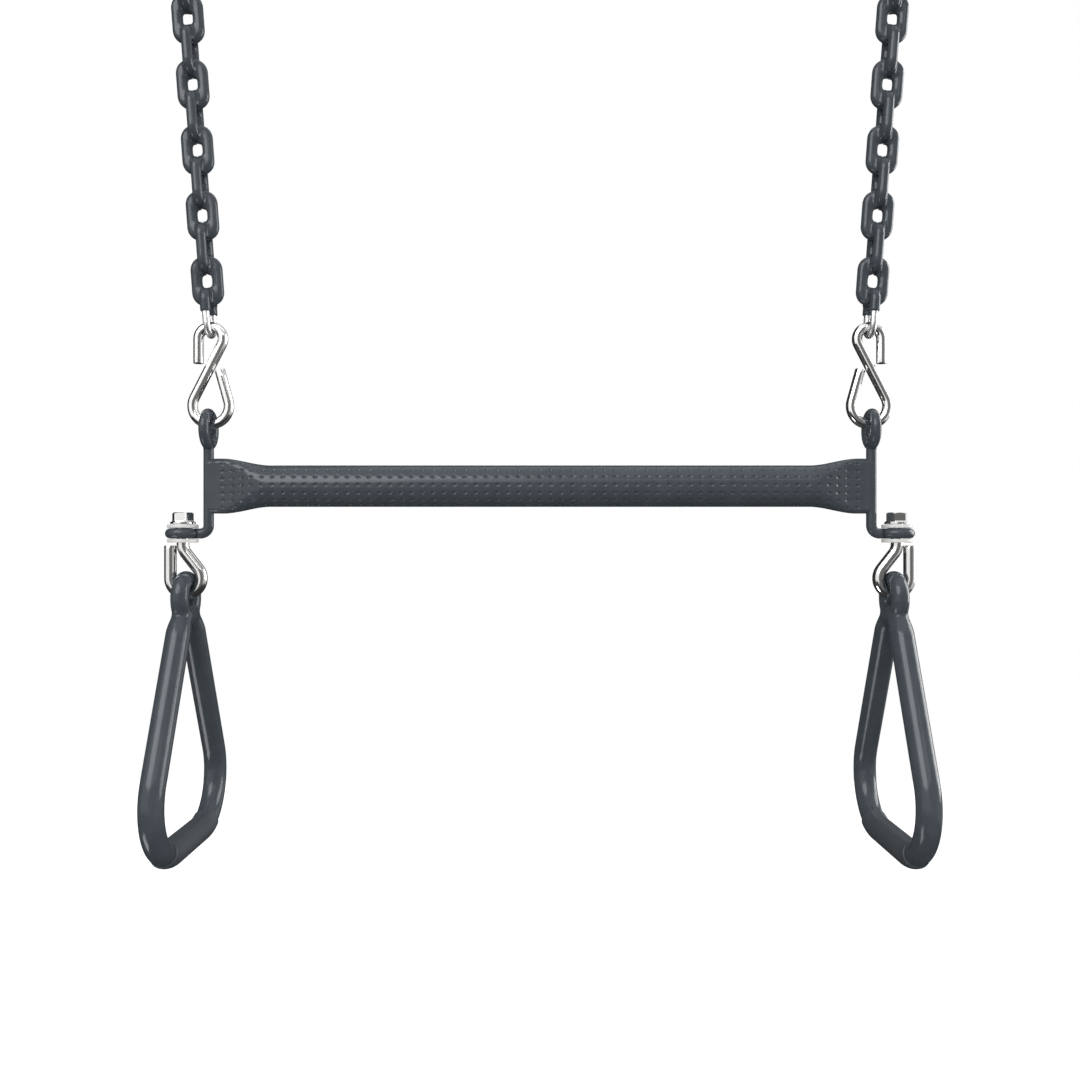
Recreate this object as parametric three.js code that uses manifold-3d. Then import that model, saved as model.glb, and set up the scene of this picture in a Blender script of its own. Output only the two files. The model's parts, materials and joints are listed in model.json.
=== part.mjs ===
// Trapeze bar with two triangular ring handles, hung from two coated chains.
// Sizes are in millimetres and degrees. +X runs along the bar, -Y faces the viewer, +Z is up.
// The origin lies midway between the two points where the top hooks bear on what holds them.

import * as THREE from "three";
import { mergeVertices } from "three/addons/utils/BufferGeometryUtils.js";
import Module from "manifold-3d";

const wasm = await Module();
wasm.setup();

// Clearances
const seatGap = 0.3; // between two pieces that bear on each other
const swivelPlay = 0.7; // round the swivel hook's shank in the rod's lower eye
const shankSink = 0.5; // of the swivel hook's threaded end below the nut's top
const cutOverrun = 5; // of a cutting tool past the piece it cuts

// Bar tube: steel tube with both ends pressed flat round the hanger rods
const rodSpacing = 508;
const tubeDiameter = 31.75;
const tubeWall = 2;
const flatHeight = 42;
const flatThickness = 11.4;
const flatCornerRadius = 4;
const pressLength = 36.5; // from round to flat
const flatLength = 11; // from the flat's start to the rod's axis
const lipSetback = 1.4; // of the pressed end's rim from the rod's axis
const lipRound = 1.2; // of the pressed end's edges

// Hanger rods: one coated rod a side, with an upright eye above and a level eye below
const rodDiameter = 7.8;
const upperEyeInside = 16.4;
const upperEyeRise = 43.5; // of the upper eye's centre over the bar's axis
const upperEyeNeckRadius = 4.5;
const upperEyeOpenAngle = 17; // from the bottom of the eye to its cut end
const lowerEyeDrop = 36.3; // of the lower eye under the bar's axis
const lowerBendRadius = 6.2;
const lowerEyeNeckRadius = 5.3;
const lowerEyeOpenAngle = 21; // from the incoming rod to the eye's cut end

// S-hooks: two on the bar's rods and two that hang from the beam
const hookWire = 7.8;
const hookLength = 82.4; // over the outside of both loops
const hookUpperInside = 11;
const hookLowerInside = 20.2;
const hookUpperEnd = 18.7; // straight free end of the upper loop
const hookLowerEnd = 24.9; // straight free end of the lower loop
const hookLowerEndLean = 15.5;
const hookInset = 1.6; // of the hook's middle towards the bar's middle, from the rod's axis

// Chains: steel links dipped in vinyl, with the outer half of each end link left bare
const linkCount = 11;
const linkSteelWire = 5.4;
const linkCoat = 1.2;
const linkInsideLength = 25.5;
const linkInsideWidth = 8.7;
const hangSpacing = 545; // between the two points that carry the part

// Swivels: a forged hook that turns in the rod's lower eye, held by a nut over two washers
const swivelWire = 9.2;
const swivelLoopInside = 14.6;
const swivelLoopDrop = 27.5; // of the loop's centre under the lower washer
const swivelLoopInset = 2.3; // of the loop's centre towards the bar's middle
const swivelDiagonalAngle = 38;
const swivelNeckRadius = 12;
const swivelTipClear = 2.3; // between the free end and the lower washer
const washerDiameter = 23;
const washerThickness = 2.7;
const washerEdge = 0.5;
const nutAcrossFlats = 14.3;
const nutHexHeight = 7;
const nutFlangeDiameter = 18.8;
const nutFlangeHeight = 1.9;
const nutChamfer = 0.9;

// Ring handles: a coated steel triangle below a thinner upright eye, with a grip on its foot
const ringDiameter = 18;
const ringCoreDiameter = 16; // under the grip
const ringHeight = 173.3; // from the apex to the foot, on the rod's centre line
const ringFootHalf = 32.4; // half of the straight foot
const ringCornerRadius = 40.5;
const ringApexRadius = 17;
const ringEyeDiameter = 12.6;
const ringEyeInside = 16.2;
const ringEyeRise = 12.3; // of the eye's centre over the apex's centre line
const gripDiameter = 20.2;
const gripBendCover = 24; // of each corner's bend that the grip runs into
const gripFlatDepth = 0.9; // of the thumb flat along the grip's inner side

// Facets
const wireSides = 8;
const swivelSides = 10;
const ringSides = 12;
const lobeStep = 30; // of a link's or a small hook's bend
const eyeStep = 27;
const ringStep = 16;
const quarterPoints = 6; // round a quarter of the tube
const pressSteps = 6;
const roundSides = 20;
const hexSidePoints = 4;

const X = new THREE.Vector3(1, 0, 0);
const Y = new THREE.Vector3(0, 1, 0);
const Z = new THREE.Vector3(0, 0, 1);
const down = Z.clone().negate();
const radians = THREE.MathUtils.degToRad;
const degrees = THREE.MathUtils.radToDeg;

// Joins rings of equally many points, each counterclockwise about the way the rings run.
// A closed run comes back to its first ring, and an open one gets two end caps.
function loft(rings, closed) {
  const count = rings[0].length;
  const positions = rings.flat().flatMap((point) => point.toArray());
  const index = [];
  const last = closed ? rings.length : rings.length - 1;
  for (let i = 0; i < last; i += 1) {
    const here = i * count;
    const next = ((i + 1) % rings.length) * count;
    for (let j = 0; j < count; j += 1) {
      const k = (j + 1) % count;
      index.push(here + j, here + k, next + k);
      index.push(here + j, next + k, next + j);
    }
  }
  if (!closed) {
    const end = (rings.length - 1) * count;
    for (let j = 1; j < count - 1; j += 1) {
      index.push(0, j + 1, j);
      index.push(end, end + j, end + j + 1);
    }
  }
  const geometry = new THREE.BufferGeometry();
  geometry.setAttribute("position", new THREE.Float32BufferAttribute(positions, 3));
  geometry.setIndex(index);
  return geometry;
}

// A wire as a bender makes it: straight runs and bends about the current axis.
// It keeps a station at each place where its section is drawn, and a bend that bears on
// another piece is split there, so that a station falls on the bearing point.
class BentWire {
  constructor(start, heading, bendAxis, diameter) {
    this.at = start.clone();
    this.heading = heading.clone();
    this.bendAxis = bendAxis.clone();
    this.side = new THREE.Vector3().crossVectors(bendAxis, heading);
    this.radius = diameter / 2;
    this.stations = [];
    this.mark();
  }

  mark() {
    const { at, heading, side, radius } = this;
    this.stations.push({ at: at.clone(), heading: heading.clone(), side: side.clone(), radius });
  }

  straight(length) {
    this.at.addScaledVector(this.heading, length);
    this.mark();
    return this;
  }

  bend(radius, turn, step) {
    const count = Math.ceil(Math.abs(turn) / step);
    const part = radians(turn) / count;
    const inward = new THREE.Vector3().crossVectors(this.bendAxis, this.heading);
    const centre = this.at.clone().addScaledVector(inward, radius * Math.sign(turn));
    for (let i = 0; i < count; i += 1) {
      this.at.sub(centre).applyAxisAngle(this.bendAxis, part).add(centre);
      this.heading.applyAxisAngle(this.bendAxis, part);
      this.side.applyAxisAngle(this.bendAxis, part);
      this.mark();
    }
    return this;
  }

  bendAbout(axis) {
    this.bendAxis = axis.clone();
    return this;
  }

  resize(diameter) {
    this.radius = diameter / 2;
    this.mark();
    return this;
  }

  rings(sides) {
    return this.stations.map(({ at, heading, side, radius }) => {
      const other = new THREE.Vector3().crossVectors(heading, side);
      return Array.from({ length: sides }, (unused, k) => {
        const angle = (2 * Math.PI * k) / sides;
        const point = at.clone().addScaledVector(side, radius * Math.cos(angle));
        return point.addScaledVector(other, radius * Math.sin(angle));
      });
    });
  }
}

// Solids for cuts and joins

function solidOf(geometry) {
  const bare = geometry.clone();
  bare.deleteAttribute("normal");
  bare.deleteAttribute("uv");
  const merged = mergeVertices(bare);
  const mesh = { numProp: 3, vertProperties: merged.attributes.position.array };
  mesh.triVerts = new Uint32Array(merged.index.array);
  return new wasm.Manifold(new wasm.Mesh(mesh));
}

function geometryOf(solid) {
  const mesh = solid.getMesh();
  const geometry = new THREE.BufferGeometry();
  geometry.setAttribute("position", new THREE.BufferAttribute(mesh.vertProperties, 3));
  geometry.setIndex(new THREE.BufferAttribute(mesh.triVerts, 1));
  return geometry;
}

// Places along the height, over the bar's axis

const rodAxisX = rodSpacing / 2;
const upperEyeRadius = (upperEyeInside + rodDiameter) / 2;
const lowerEyeRadius = (swivelWire + rodDiameter) / 2 + swivelPlay;
const hookUpperRadius = (hookUpperInside + hookWire) / 2;
const hookLowerRadius = (hookLowerInside + hookWire) / 2;
const hookReach = hookLength - hookWire; // between the wire's centres at the two bearing points
const lowerHookFoot = upperEyeRise + (upperEyeInside - hookWire) / 2 - seatGap;
const lowerHookX = rodAxisX - hookInset;

// Distance from an eye's centre to where its neck leaves the straight rod.
function eyeOffset(eyeRadius, neckRadius) {
  return Math.sqrt(eyeRadius ** 2 + 2 * eyeRadius * neckRadius);
}

// Angle that the neck turns through before the eye starts.
function neckTurn(eyeRadius, neckRadius) {
  return degrees(Math.asin(eyeOffset(eyeRadius, neckRadius) / (eyeRadius + neckRadius)));
}

const swivelX = rodAxisX + lowerBendRadius + eyeOffset(lowerEyeRadius, lowerEyeNeckRadius);

// Bar tube

// A quarter of a pressed section's outline, from the middle of its side to the top of its fold.
function pressedPoint(share, halfThickness, halfHeight, corner) {
  const side = halfHeight - corner;
  const fold = (Math.PI / 2) * corner;
  const top = halfThickness - corner;
  const along = share * (side + fold + top);
  if (along <= side) return [halfThickness, along];
  if (along >= side + fold) return [halfThickness - corner - (along - side - fold), halfHeight];
  const angle = (along - side) / corner;
  return [top + corner * Math.cos(angle), side + corner * Math.sin(angle)];
}

// One section of the tube across the bar, inset from its skin. Pressing takes it from a circle to
// a flat-sided outline, whose corners tighten as its sides grow.
function tubeRing(x, pressed, inset) {
  const radius = tubeDiameter / 2;
  const halfThickness = THREE.MathUtils.lerp(radius, flatThickness / 2, pressed) - inset;
  const halfHeight = THREE.MathUtils.lerp(radius, flatHeight / 2, pressed) - inset;
  const corner = THREE.MathUtils.lerp(radius, flatCornerRadius, pressed) - inset;
  const quarter = Array.from({ length: quarterPoints + 1 }, (unused, k) =>
    pressedPoint(k / quarterPoints, halfThickness, halfHeight, corner),
  );
  const back = quarter.slice(1, -1).reverse();
  const outline = [
    ...quarter,
    ...back.map(([y, z]) => [-y, z]),
    ...quarter.map(([y, z]) => [-y, -z]),
    ...back.map(([y, z]) => [y, -z]),
  ];
  return outline.map(([y, z]) => new THREE.Vector3(x, y, z));
}

function barTube() {
  const flatStart = rodAxisX - flatLength;
  const pressStart = flatStart - pressLength;
  const tubeEnd = rodAxisX - lipSetback;
  const half = [];
  for (let k = 0; k <= pressSteps; k += 1) {
    const share = k / pressSteps;
    const x = THREE.MathUtils.lerp(pressStart, flatStart, share);
    half.push({ x, pressed: THREE.MathUtils.smoothstep(share, 0, 1), edge: 0 });
  }
  half.push({ x: tubeEnd - lipRound, pressed: 1, edge: 0 });
  half.push({ x: tubeEnd, pressed: 1, edge: lipRound });
  const mirrored = half.map((station) => ({ ...station, x: -station.x })).reverse();
  const stations = [...mirrored, ...half];
  const skin = stations.map(({ x, pressed, edge }) => tubeRing(x, pressed, edge));
  const bore = stations.map(({ x, pressed }) => tubeRing(x, pressed, tubeWall)).reverse();
  let tube = solidOf(loft([...skin, ...bore], true));
  const seatRadius = rodDiameter / 2 + seatGap;
  const seatLength = flatHeight + cutOverrun;
  for (const x of [-rodAxisX, rodAxisX]) {
    const seat = new THREE.CylinderGeometry(seatRadius, seatRadius, seatLength, roundSides);
    seat.rotateX(radians(90)).translate(x, 0, 0);
    tube = tube.subtract(solidOf(seat));
  }
  return geometryOf(tube);
}

// Hanger rod, on the side of +X

function hangerRod() {
  const open = radians(upperEyeOpenAngle);
  const start = new THREE.Vector3(
    rodAxisX,
    upperEyeRadius * Math.sin(open),
    upperEyeRise - upperEyeRadius * Math.cos(open),
  );
  const heading = new THREE.Vector3(0, Math.cos(open), Math.sin(open));
  const upperNeck = neckTurn(upperEyeRadius, upperEyeNeckRadius);
  const lowerNeck = neckTurn(lowerEyeRadius, lowerEyeNeckRadius);
  const shankTop = upperEyeRise - eyeOffset(upperEyeRadius, upperEyeNeckRadius);
  const shankFoot = lowerBendRadius - lowerEyeDrop;
  const rod = new BentWire(start, heading, X, rodDiameter);
  rod.bend(upperEyeRadius, 180 - upperEyeOpenAngle, eyeStep);
  rod.bend(upperEyeRadius, 90 + upperNeck, eyeStep);
  rod.bend(upperEyeNeckRadius, -upperNeck, lobeStep);
  rod.straight(shankTop - shankFoot);
  rod.bendAbout(Y).bend(lowerBendRadius, -90, lobeStep);
  rod.bendAbout(Z).bend(lowerEyeNeckRadius, lowerNeck, lobeStep);
  rod.bend(lowerEyeRadius, -(90 + lowerNeck), eyeStep);
  rod.bend(lowerEyeRadius, lowerEyeOpenAngle - 180, eyeStep);
  return loft(rod.rings(wireSides), false);
}

// S-hook, on the side of +X, with its lower bearing point at the origin

function sHook() {
  const spacing = hookReach - hookUpperRadius - hookLowerRadius;
  const radii = hookUpperRadius + hookLowerRadius;
  const lean = degrees(Math.asin(radii / spacing));
  const start = new THREE.Vector3(
    hookUpperRadius,
    0,
    hookReach - hookUpperRadius - hookUpperEnd,
  );
  const hook = new BentWire(start, Z, Y, hookWire);
  hook.straight(hookUpperEnd);
  hook.bend(hookUpperRadius, -90, lobeStep).bend(hookUpperRadius, -(90 + lean), lobeStep);
  hook.straight(Math.sqrt(spacing ** 2 - radii ** 2));
  hook.bend(hookLowerRadius, 90 + lean, eyeStep);
  hook.bend(hookLowerRadius, 90 + hookLowerEndLean, eyeStep);
  hook.straight(hookLowerEnd);
  return loft(hook.rings(wireSides), false);
}

// Chain

const linkCoated = linkSteelWire + 2 * linkCoat;
const linkWidth = linkInsideWidth + linkCoated; // between the two legs' centre lines
const linkReach = linkInsideLength + linkCoated; // between the two ends' centre lines
const linkPitch = linkInsideLength - seatGap;
const endSeat = (linkSteelWire + hookWire) / 2 + seatGap; // from a hook's wire to the bare link's
const chainSpan = linkReach - 2 * endSeat + (linkCount - 1) * linkPitch;
const chainFoot = new THREE.Vector3(lowerHookX, 0, lowerHookFoot + hookReach);
const chainLean = Math.asin((hangSpacing / 2 - lowerHookX) / chainSpan);
const upperHookFoot = chainFoot.z + chainSpan * Math.cos(chainLean);
const hangHeight = upperHookFoot + hookReach - hookWire / 2; // of the origin over the bar's axis

const linkLeg = linkReach - linkWidth; // straight part of a link's leg

// A link in the plane of X and Z, coated all round.
function coatedLink() {
  const start = new THREE.Vector3(linkWidth / 2, 0, linkLeg / 2);
  const wire = new BentWire(start, Z, Y, linkCoated);
  wire.bend(linkWidth / 2, -180, lobeStep).straight(linkLeg);
  wire.bend(linkWidth / 2, -180, lobeStep);
  return loft(wire.rings(wireSides), true);
}

// The same link with its coat ending halfway down, so that the lower half is bare wire.
function endLink() {
  const start = new THREE.Vector3(linkWidth / 2, 0, 0);
  const wire = new BentWire(start, Z, Y, linkCoated);
  wire.straight(linkLeg / 2).bend(linkWidth / 2, -180, lobeStep).straight(linkLeg / 2);
  wire.resize(linkSteelWire);
  wire.straight(linkLeg / 2).bend(linkWidth / 2, -180, lobeStep).straight(linkLeg / 2);
  return loft(wire.rings(wireSides), true);
}

// Swivel hook, on the side of +X, about the lower eye's axis

const washerGapHeight = rodDiameter / 2 + seatGap;
const upperWasherFoot = washerGapHeight - lowerEyeDrop;
const lowerWasherTop = -washerGapHeight - lowerEyeDrop;
const lowerWasherFoot = lowerWasherTop - washerThickness;
const nutFoot = upperWasherFoot + washerThickness + seatGap;
const nutTop = nutFoot + nutFlangeHeight + nutHexHeight;
const swivelLoopRadius = (swivelLoopInside + swivelWire) / 2;
const swivelLoopZ = lowerWasherFoot - swivelLoopDrop;
const swivelFoot = swivelLoopZ - swivelLoopRadius;
const swivelLoopX = swivelX - swivelLoopInset;

function swivelHook() {
  const tilt = radians(swivelDiagonalAngle);
  const diagonal = (swivelLoopInset + swivelLoopRadius * Math.cos(tilt)) / Math.sin(tilt);
  const corner = swivelLoopZ + swivelLoopRadius * Math.sin(tilt) + diagonal * Math.cos(tilt);
  const tangent = swivelNeckRadius * Math.tan(tilt / 2);
  const top = nutTop - shankSink;
  const tip = lowerWasherFoot - swivelTipClear;
  const hook = new BentWire(new THREE.Vector3(swivelX, 0, top), down, Y, swivelWire);
  hook.straight(top - corner - tangent);
  hook.bend(swivelNeckRadius, swivelDiagonalAngle, lobeStep);
  hook.straight(diagonal - tangent);
  hook.bend(swivelLoopRadius, -(90 + swivelDiagonalAngle), eyeStep);
  hook.bend(swivelLoopRadius, -90, eyeStep);
  hook.straight(tip - swivelLoopZ);
  return loft(hook.rings(swivelSides), false);
}

function washer() {
  const inner = swivelWire / 2 + seatGap;
  const outer = washerDiameter / 2;
  const profile = [
    [inner, 0],
    [outer - washerEdge, 0],
    [outer, washerEdge],
    [outer, washerThickness - washerEdge],
    [outer - washerEdge, washerThickness],
    [inner, washerThickness],
    [inner, 0],
  ];
  const points = profile.map(([r, z]) => new THREE.Vector2(r, z));
  return new THREE.LatheGeometry(points, roundSides).rotateX(radians(90)).translate(swivelX, 0, 0);
}

// Distance from the nut's axis to its hexagon, in the direction of an angle from a corner.
function hexRadius(angle) {
  const sixth = Math.PI / 3;
  const fromFlat = (((angle % sixth) + sixth) % sixth) - sixth / 2;
  return nutAcrossFlats / 2 / Math.cos(fromFlat);
}

function flangeNut() {
  const count = 6 * hexSidePoints;
  const angles = Array.from({ length: count }, (unused, k) => (2 * Math.PI * k) / count);
  const ring = (z, radiusAt) =>
    angles.map((angle) => {
      const radius = radiusAt(angle);
      return new THREE.Vector3(
        swivelX + radius * Math.cos(angle),
        radius * Math.sin(angle),
        nutFoot + z,
      );
    });
  const round = (radius) => () => radius;
  const flange = nutFlangeDiameter / 2;
  const crown = nutAcrossFlats / 2;
  const corner = crown / Math.cos(Math.PI / 6);
  const height = nutFlangeHeight + nutHexHeight;
  const bore = swivelWire / 2 + seatGap;
  const rings = [
    ring(0, round(flange)),
    ring(nutFlangeHeight / 2, round(flange)),
    ring(nutFlangeHeight, hexRadius),
    ring(height - nutChamfer, hexRadius),
    ring(height, (angle) => Math.min(hexRadius(angle), crown - (corner - crown) / 2)),
    ring(height, round(bore)),
    ring(0, round(bore)),
  ];
  return loft(rings, true);
}

// Ring handle and grip, on the side of +X

const ringEyeZ = swivelFoot + swivelWire / 2 + seatGap - ringEyeInside / 2;
const ringApexZ = ringEyeZ - ringEyeRise;
const ringFootZ = ringApexZ - ringHeight;
const ringCornerZ = ringFootZ + ringCornerRadius;
const ringRise = ringApexZ - ringApexRadius - ringCornerZ; // between the centres of the bends
const ringCentres = Math.hypot(ringFootHalf, ringRise);
const ringTangent = Math.asin((ringCornerRadius - ringApexRadius) / ringCentres);
const ringLegLean = degrees(Math.atan(ringFootHalf / ringRise) + ringTangent);
const ringLeg = ringCentres * Math.cos(ringTangent);

// The triangle starts at the middle of its foot and runs round through its far corner.
function ringTriangle() {
  const start = new THREE.Vector3(swivelLoopX, 0, ringFootZ);
  const corner = 90 + ringLegLean;
  const uncovered = corner - gripBendCover;
  const wire = new BentWire(start, Y, X, ringCoreDiameter);
  wire.straight(ringFootHalf).bend(ringCornerRadius, gripBendCover, ringStep);
  wire.resize(ringDiameter).bend(ringCornerRadius, uncovered, ringStep);
  wire.straight(ringLeg).bend(ringApexRadius, 180 - 2 * ringLegLean, ringStep);
  wire.straight(ringLeg).bend(ringCornerRadius, uncovered, ringStep);
  wire.resize(ringCoreDiameter).bend(ringCornerRadius, gripBendCover, ringStep);
  return loft(wire.rings(ringSides), true);
}

// The space inside the eye, out past both faces of the triangle, as a turned plug.
function ringEyePlug(eyeRadius) {
  const tube = ringEyeDiameter / 2;
  const reach = ringDiameter / 2 + cutOverrun;
  const steps = wireSides;
  const profile = [new THREE.Vector2(0, -reach), new THREE.Vector2(eyeRadius, -reach)];
  for (let k = 0; k <= steps; k += 1) {
    const angle = Math.PI * (k / steps - 1 / 2);
    const radius = eyeRadius - tube * Math.cos(angle);
    profile.push(new THREE.Vector2(radius, tube * Math.sin(angle)));
  }
  profile.push(new THREE.Vector2(eyeRadius, reach), new THREE.Vector2(0, reach));
  return new THREE.LatheGeometry(profile, roundSides).rotateZ(radians(-90));
}

function ringHandle() {
  const eyeRadius = (ringEyeInside + ringEyeDiameter) / 2;
  const eye = new THREE.TorusGeometry(eyeRadius, ringEyeDiameter / 2, wireSides, roundSides);
  eye.rotateY(radians(90)).translate(swivelLoopX, 0, ringEyeZ);
  const plug = ringEyePlug(eyeRadius).translate(swivelLoopX, 0, ringEyeZ);
  const triangle = solidOf(ringTriangle()).subtract(solidOf(plug));
  return geometryOf(triangle.add(solidOf(eye)));
}

// The sleeve's sections are round, with the thumb flat cut across the side of the ring's middle.
function ringGrip() {
  const turn = gripBendCover;
  const side = ringFootHalf + ringCornerRadius * Math.sin(radians(turn));
  const rise = ringCornerRadius * (1 - Math.cos(radians(turn)));
  const start = new THREE.Vector3(swivelLoopX, -side, ringFootZ + rise);
  const heading = new THREE.Vector3(0, Math.cos(radians(turn)), -Math.sin(radians(turn)));
  const route = (diameter) => {
    const wire = new BentWire(start, heading, X, diameter);
    wire.bend(ringCornerRadius, turn, ringStep).straight(2 * ringFootHalf);
    return wire.bend(ringCornerRadius, turn, ringStep);
  };
  const outer = route(gripDiameter);
  const flat = gripDiameter / 2 - gripFlatDepth;
  const skin = outer.rings(ringSides).map((ring, k) => {
    const { at, side: inward } = outer.stations[k];
    return ring.map((point) => {
      const over = point.clone().sub(at).dot(inward) - flat;
      return over > 0 ? point.addScaledVector(inward, -over) : point;
    });
  });
  const bore = route(ringCoreDiameter + 2 * seatGap).rings(ringSides).reverse();
  return loft([...skin, ...bore], true);
}

// Materials

const slate = 0x474d53;
const coatedSteel = new THREE.MeshStandardMaterial({ color: slate, roughness: 0.35, metalness: 0 });
const gripVinyl = new THREE.MeshStandardMaterial({ color: slate, roughness: 0.45, metalness: 0 });
const brightSteel = new THREE.MeshStandardMaterial({
  color: 0xd6d4d1,
  roughness: 0.15,
  metalness: 1,
});
const whiteNylon = new THREE.MeshStandardMaterial({
  color: 0xe4e4e2,
  roughness: 0.5,
  metalness: 0,
});

// Assembly

const trapeze = new THREE.Group();
trapeze.position.z = -hangHeight;

function add(parent, name, geometry, material) {
  const mesh = new THREE.Mesh(geometry, material);
  mesh.name = name;
  parent.add(mesh);
  return mesh;
}

const rodShape = hangerRod();
const sHookShape = sHook();
const swivelShape = swivelHook();
const washerShape = washer();
const nutShape = flangeNut();
const ringShape = ringHandle();
const gripShape = ringGrip();
const coatedLinkShape = coatedLink();
const endLinkShape = endLink();

// The links hang along the line between the two hooks, every second one turned edge on.
function addChain(parent, side) {
  const chain = new THREE.Group();
  chain.position.copy(chainFoot);
  chain.rotation.y = chainLean;
  parent.add(chain);
  for (let number = 1; number <= linkCount; number += 1) {
    const isEnd = number === 1 || number === linkCount;
    const shape = isEnd ? endLinkShape : coatedLinkShape;
    const name = `${side}_chain_link_${number}`;
    const mesh = add(chain, name, shape, coatedSteel);
    mesh.position.z = linkReach / 2 - endSeat + (linkCount - number) * linkPitch;
    mesh.rotation.z = number % 2 === 1 ? radians(90) : 0;
    mesh.rotation.x = number === 1 ? radians(180) : 0;
  }
}

function addSide(side, mirror) {
  const half = new THREE.Group();
  half.scale.x = mirror;
  trapeze.add(half);
  add(half, `${side}_hanger_rod`, rodShape, coatedSteel);
  const lowerHook = add(half, `${side}_lower_s_hook`, sHookShape, brightSteel);
  lowerHook.position.set(lowerHookX, 0, lowerHookFoot);
  const upperHook = add(half, `${side}_upper_s_hook`, sHookShape, brightSteel);
  upperHook.position.set(hangSpacing / 2, 0, upperHookFoot);
  addChain(half, side);
  add(half, `${side}_swivel_hook`, swivelShape, brightSteel);
  add(half, `${side}_upper_washer`, washerShape, whiteNylon).position.z = upperWasherFoot;
  add(half, `${side}_lower_washer`, washerShape, whiteNylon).position.z = lowerWasherFoot;
  add(half, `${side}_flange_nut`, nutShape, brightSteel);
  add(half, `${side}_ring_handle`, ringShape, coatedSteel);
  add(half, `${side}_ring_grip`, gripShape, gripVinyl);
}

add(trapeze, "bar_tube", barTube(), coatedSteel);
addSide("left", -1);
addSide("right", 1);

export default trapeze;
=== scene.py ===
"""Trapeze bar with two triangular ring handles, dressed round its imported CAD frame.

The scene is in metres, in the part's own frame: +X runs along the bar, -Y faces the viewer and
+Z is up. Sizes in the classes are millimetres, as on a workshop drawing. Every piece is built for
the side of +X and mirrored for the other side.
"""

from __future__ import annotations

import itertools
import json
import logging
import math
from collections.abc import Callable
from dataclasses import dataclass
from enum import Enum
from typing import TypeVar

import bpy
import numpy as np
from mathutils import Matrix, Vector

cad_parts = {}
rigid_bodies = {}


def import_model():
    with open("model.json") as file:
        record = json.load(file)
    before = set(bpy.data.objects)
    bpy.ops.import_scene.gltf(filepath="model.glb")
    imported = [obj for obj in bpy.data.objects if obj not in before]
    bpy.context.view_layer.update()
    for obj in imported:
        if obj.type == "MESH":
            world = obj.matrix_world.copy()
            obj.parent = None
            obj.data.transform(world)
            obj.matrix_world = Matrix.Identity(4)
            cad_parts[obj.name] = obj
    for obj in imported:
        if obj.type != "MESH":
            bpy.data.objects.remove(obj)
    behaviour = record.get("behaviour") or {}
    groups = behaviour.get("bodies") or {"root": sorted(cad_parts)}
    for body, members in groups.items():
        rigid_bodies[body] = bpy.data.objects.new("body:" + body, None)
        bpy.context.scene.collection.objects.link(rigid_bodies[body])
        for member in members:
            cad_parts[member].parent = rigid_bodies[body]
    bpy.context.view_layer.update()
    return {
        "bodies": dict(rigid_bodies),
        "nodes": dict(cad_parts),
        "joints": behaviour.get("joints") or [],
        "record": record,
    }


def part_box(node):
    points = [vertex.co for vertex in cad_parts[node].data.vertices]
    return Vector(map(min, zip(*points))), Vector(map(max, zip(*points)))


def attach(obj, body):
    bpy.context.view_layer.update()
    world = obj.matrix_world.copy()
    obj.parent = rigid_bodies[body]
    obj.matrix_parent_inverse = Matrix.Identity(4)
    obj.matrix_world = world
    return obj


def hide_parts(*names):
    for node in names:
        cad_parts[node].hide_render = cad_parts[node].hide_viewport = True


LOG = logging.getLogger("trapeze")

MM = 0.001
X = Vector((1.0, 0.0, 0.0))
Y = Vector((0.0, 1.0, 0.0))
Z = Vector((0.0, 0.0, 1.0))
MIRROR = Matrix.Diagonal((-1.0, 1.0, 1.0, 1.0))
WHITE = "#ffffff"
# The least length in millimetres that anything is divided by.
HAIR = 0.001
# The crease angle of a piece on which no edge stays sharp.
SMOOTH = 180.0


class Side(Enum):
    """The bar's two ends, by the sign of X."""

    LEFT = -1
    RIGHT = 1

    @property
    def label(self) -> str:
        """The name that this end has in the frame."""
        return self.name.lower()


class Slot(Enum):
    """The record's material slots."""

    COATED_STEEL = "coated_steel"
    GRIP_VINYL = "grip_vinyl"
    BRIGHT_STEEL = "bright_steel"
    WHITE_NYLON = "white_nylon"


# Meshes


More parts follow.
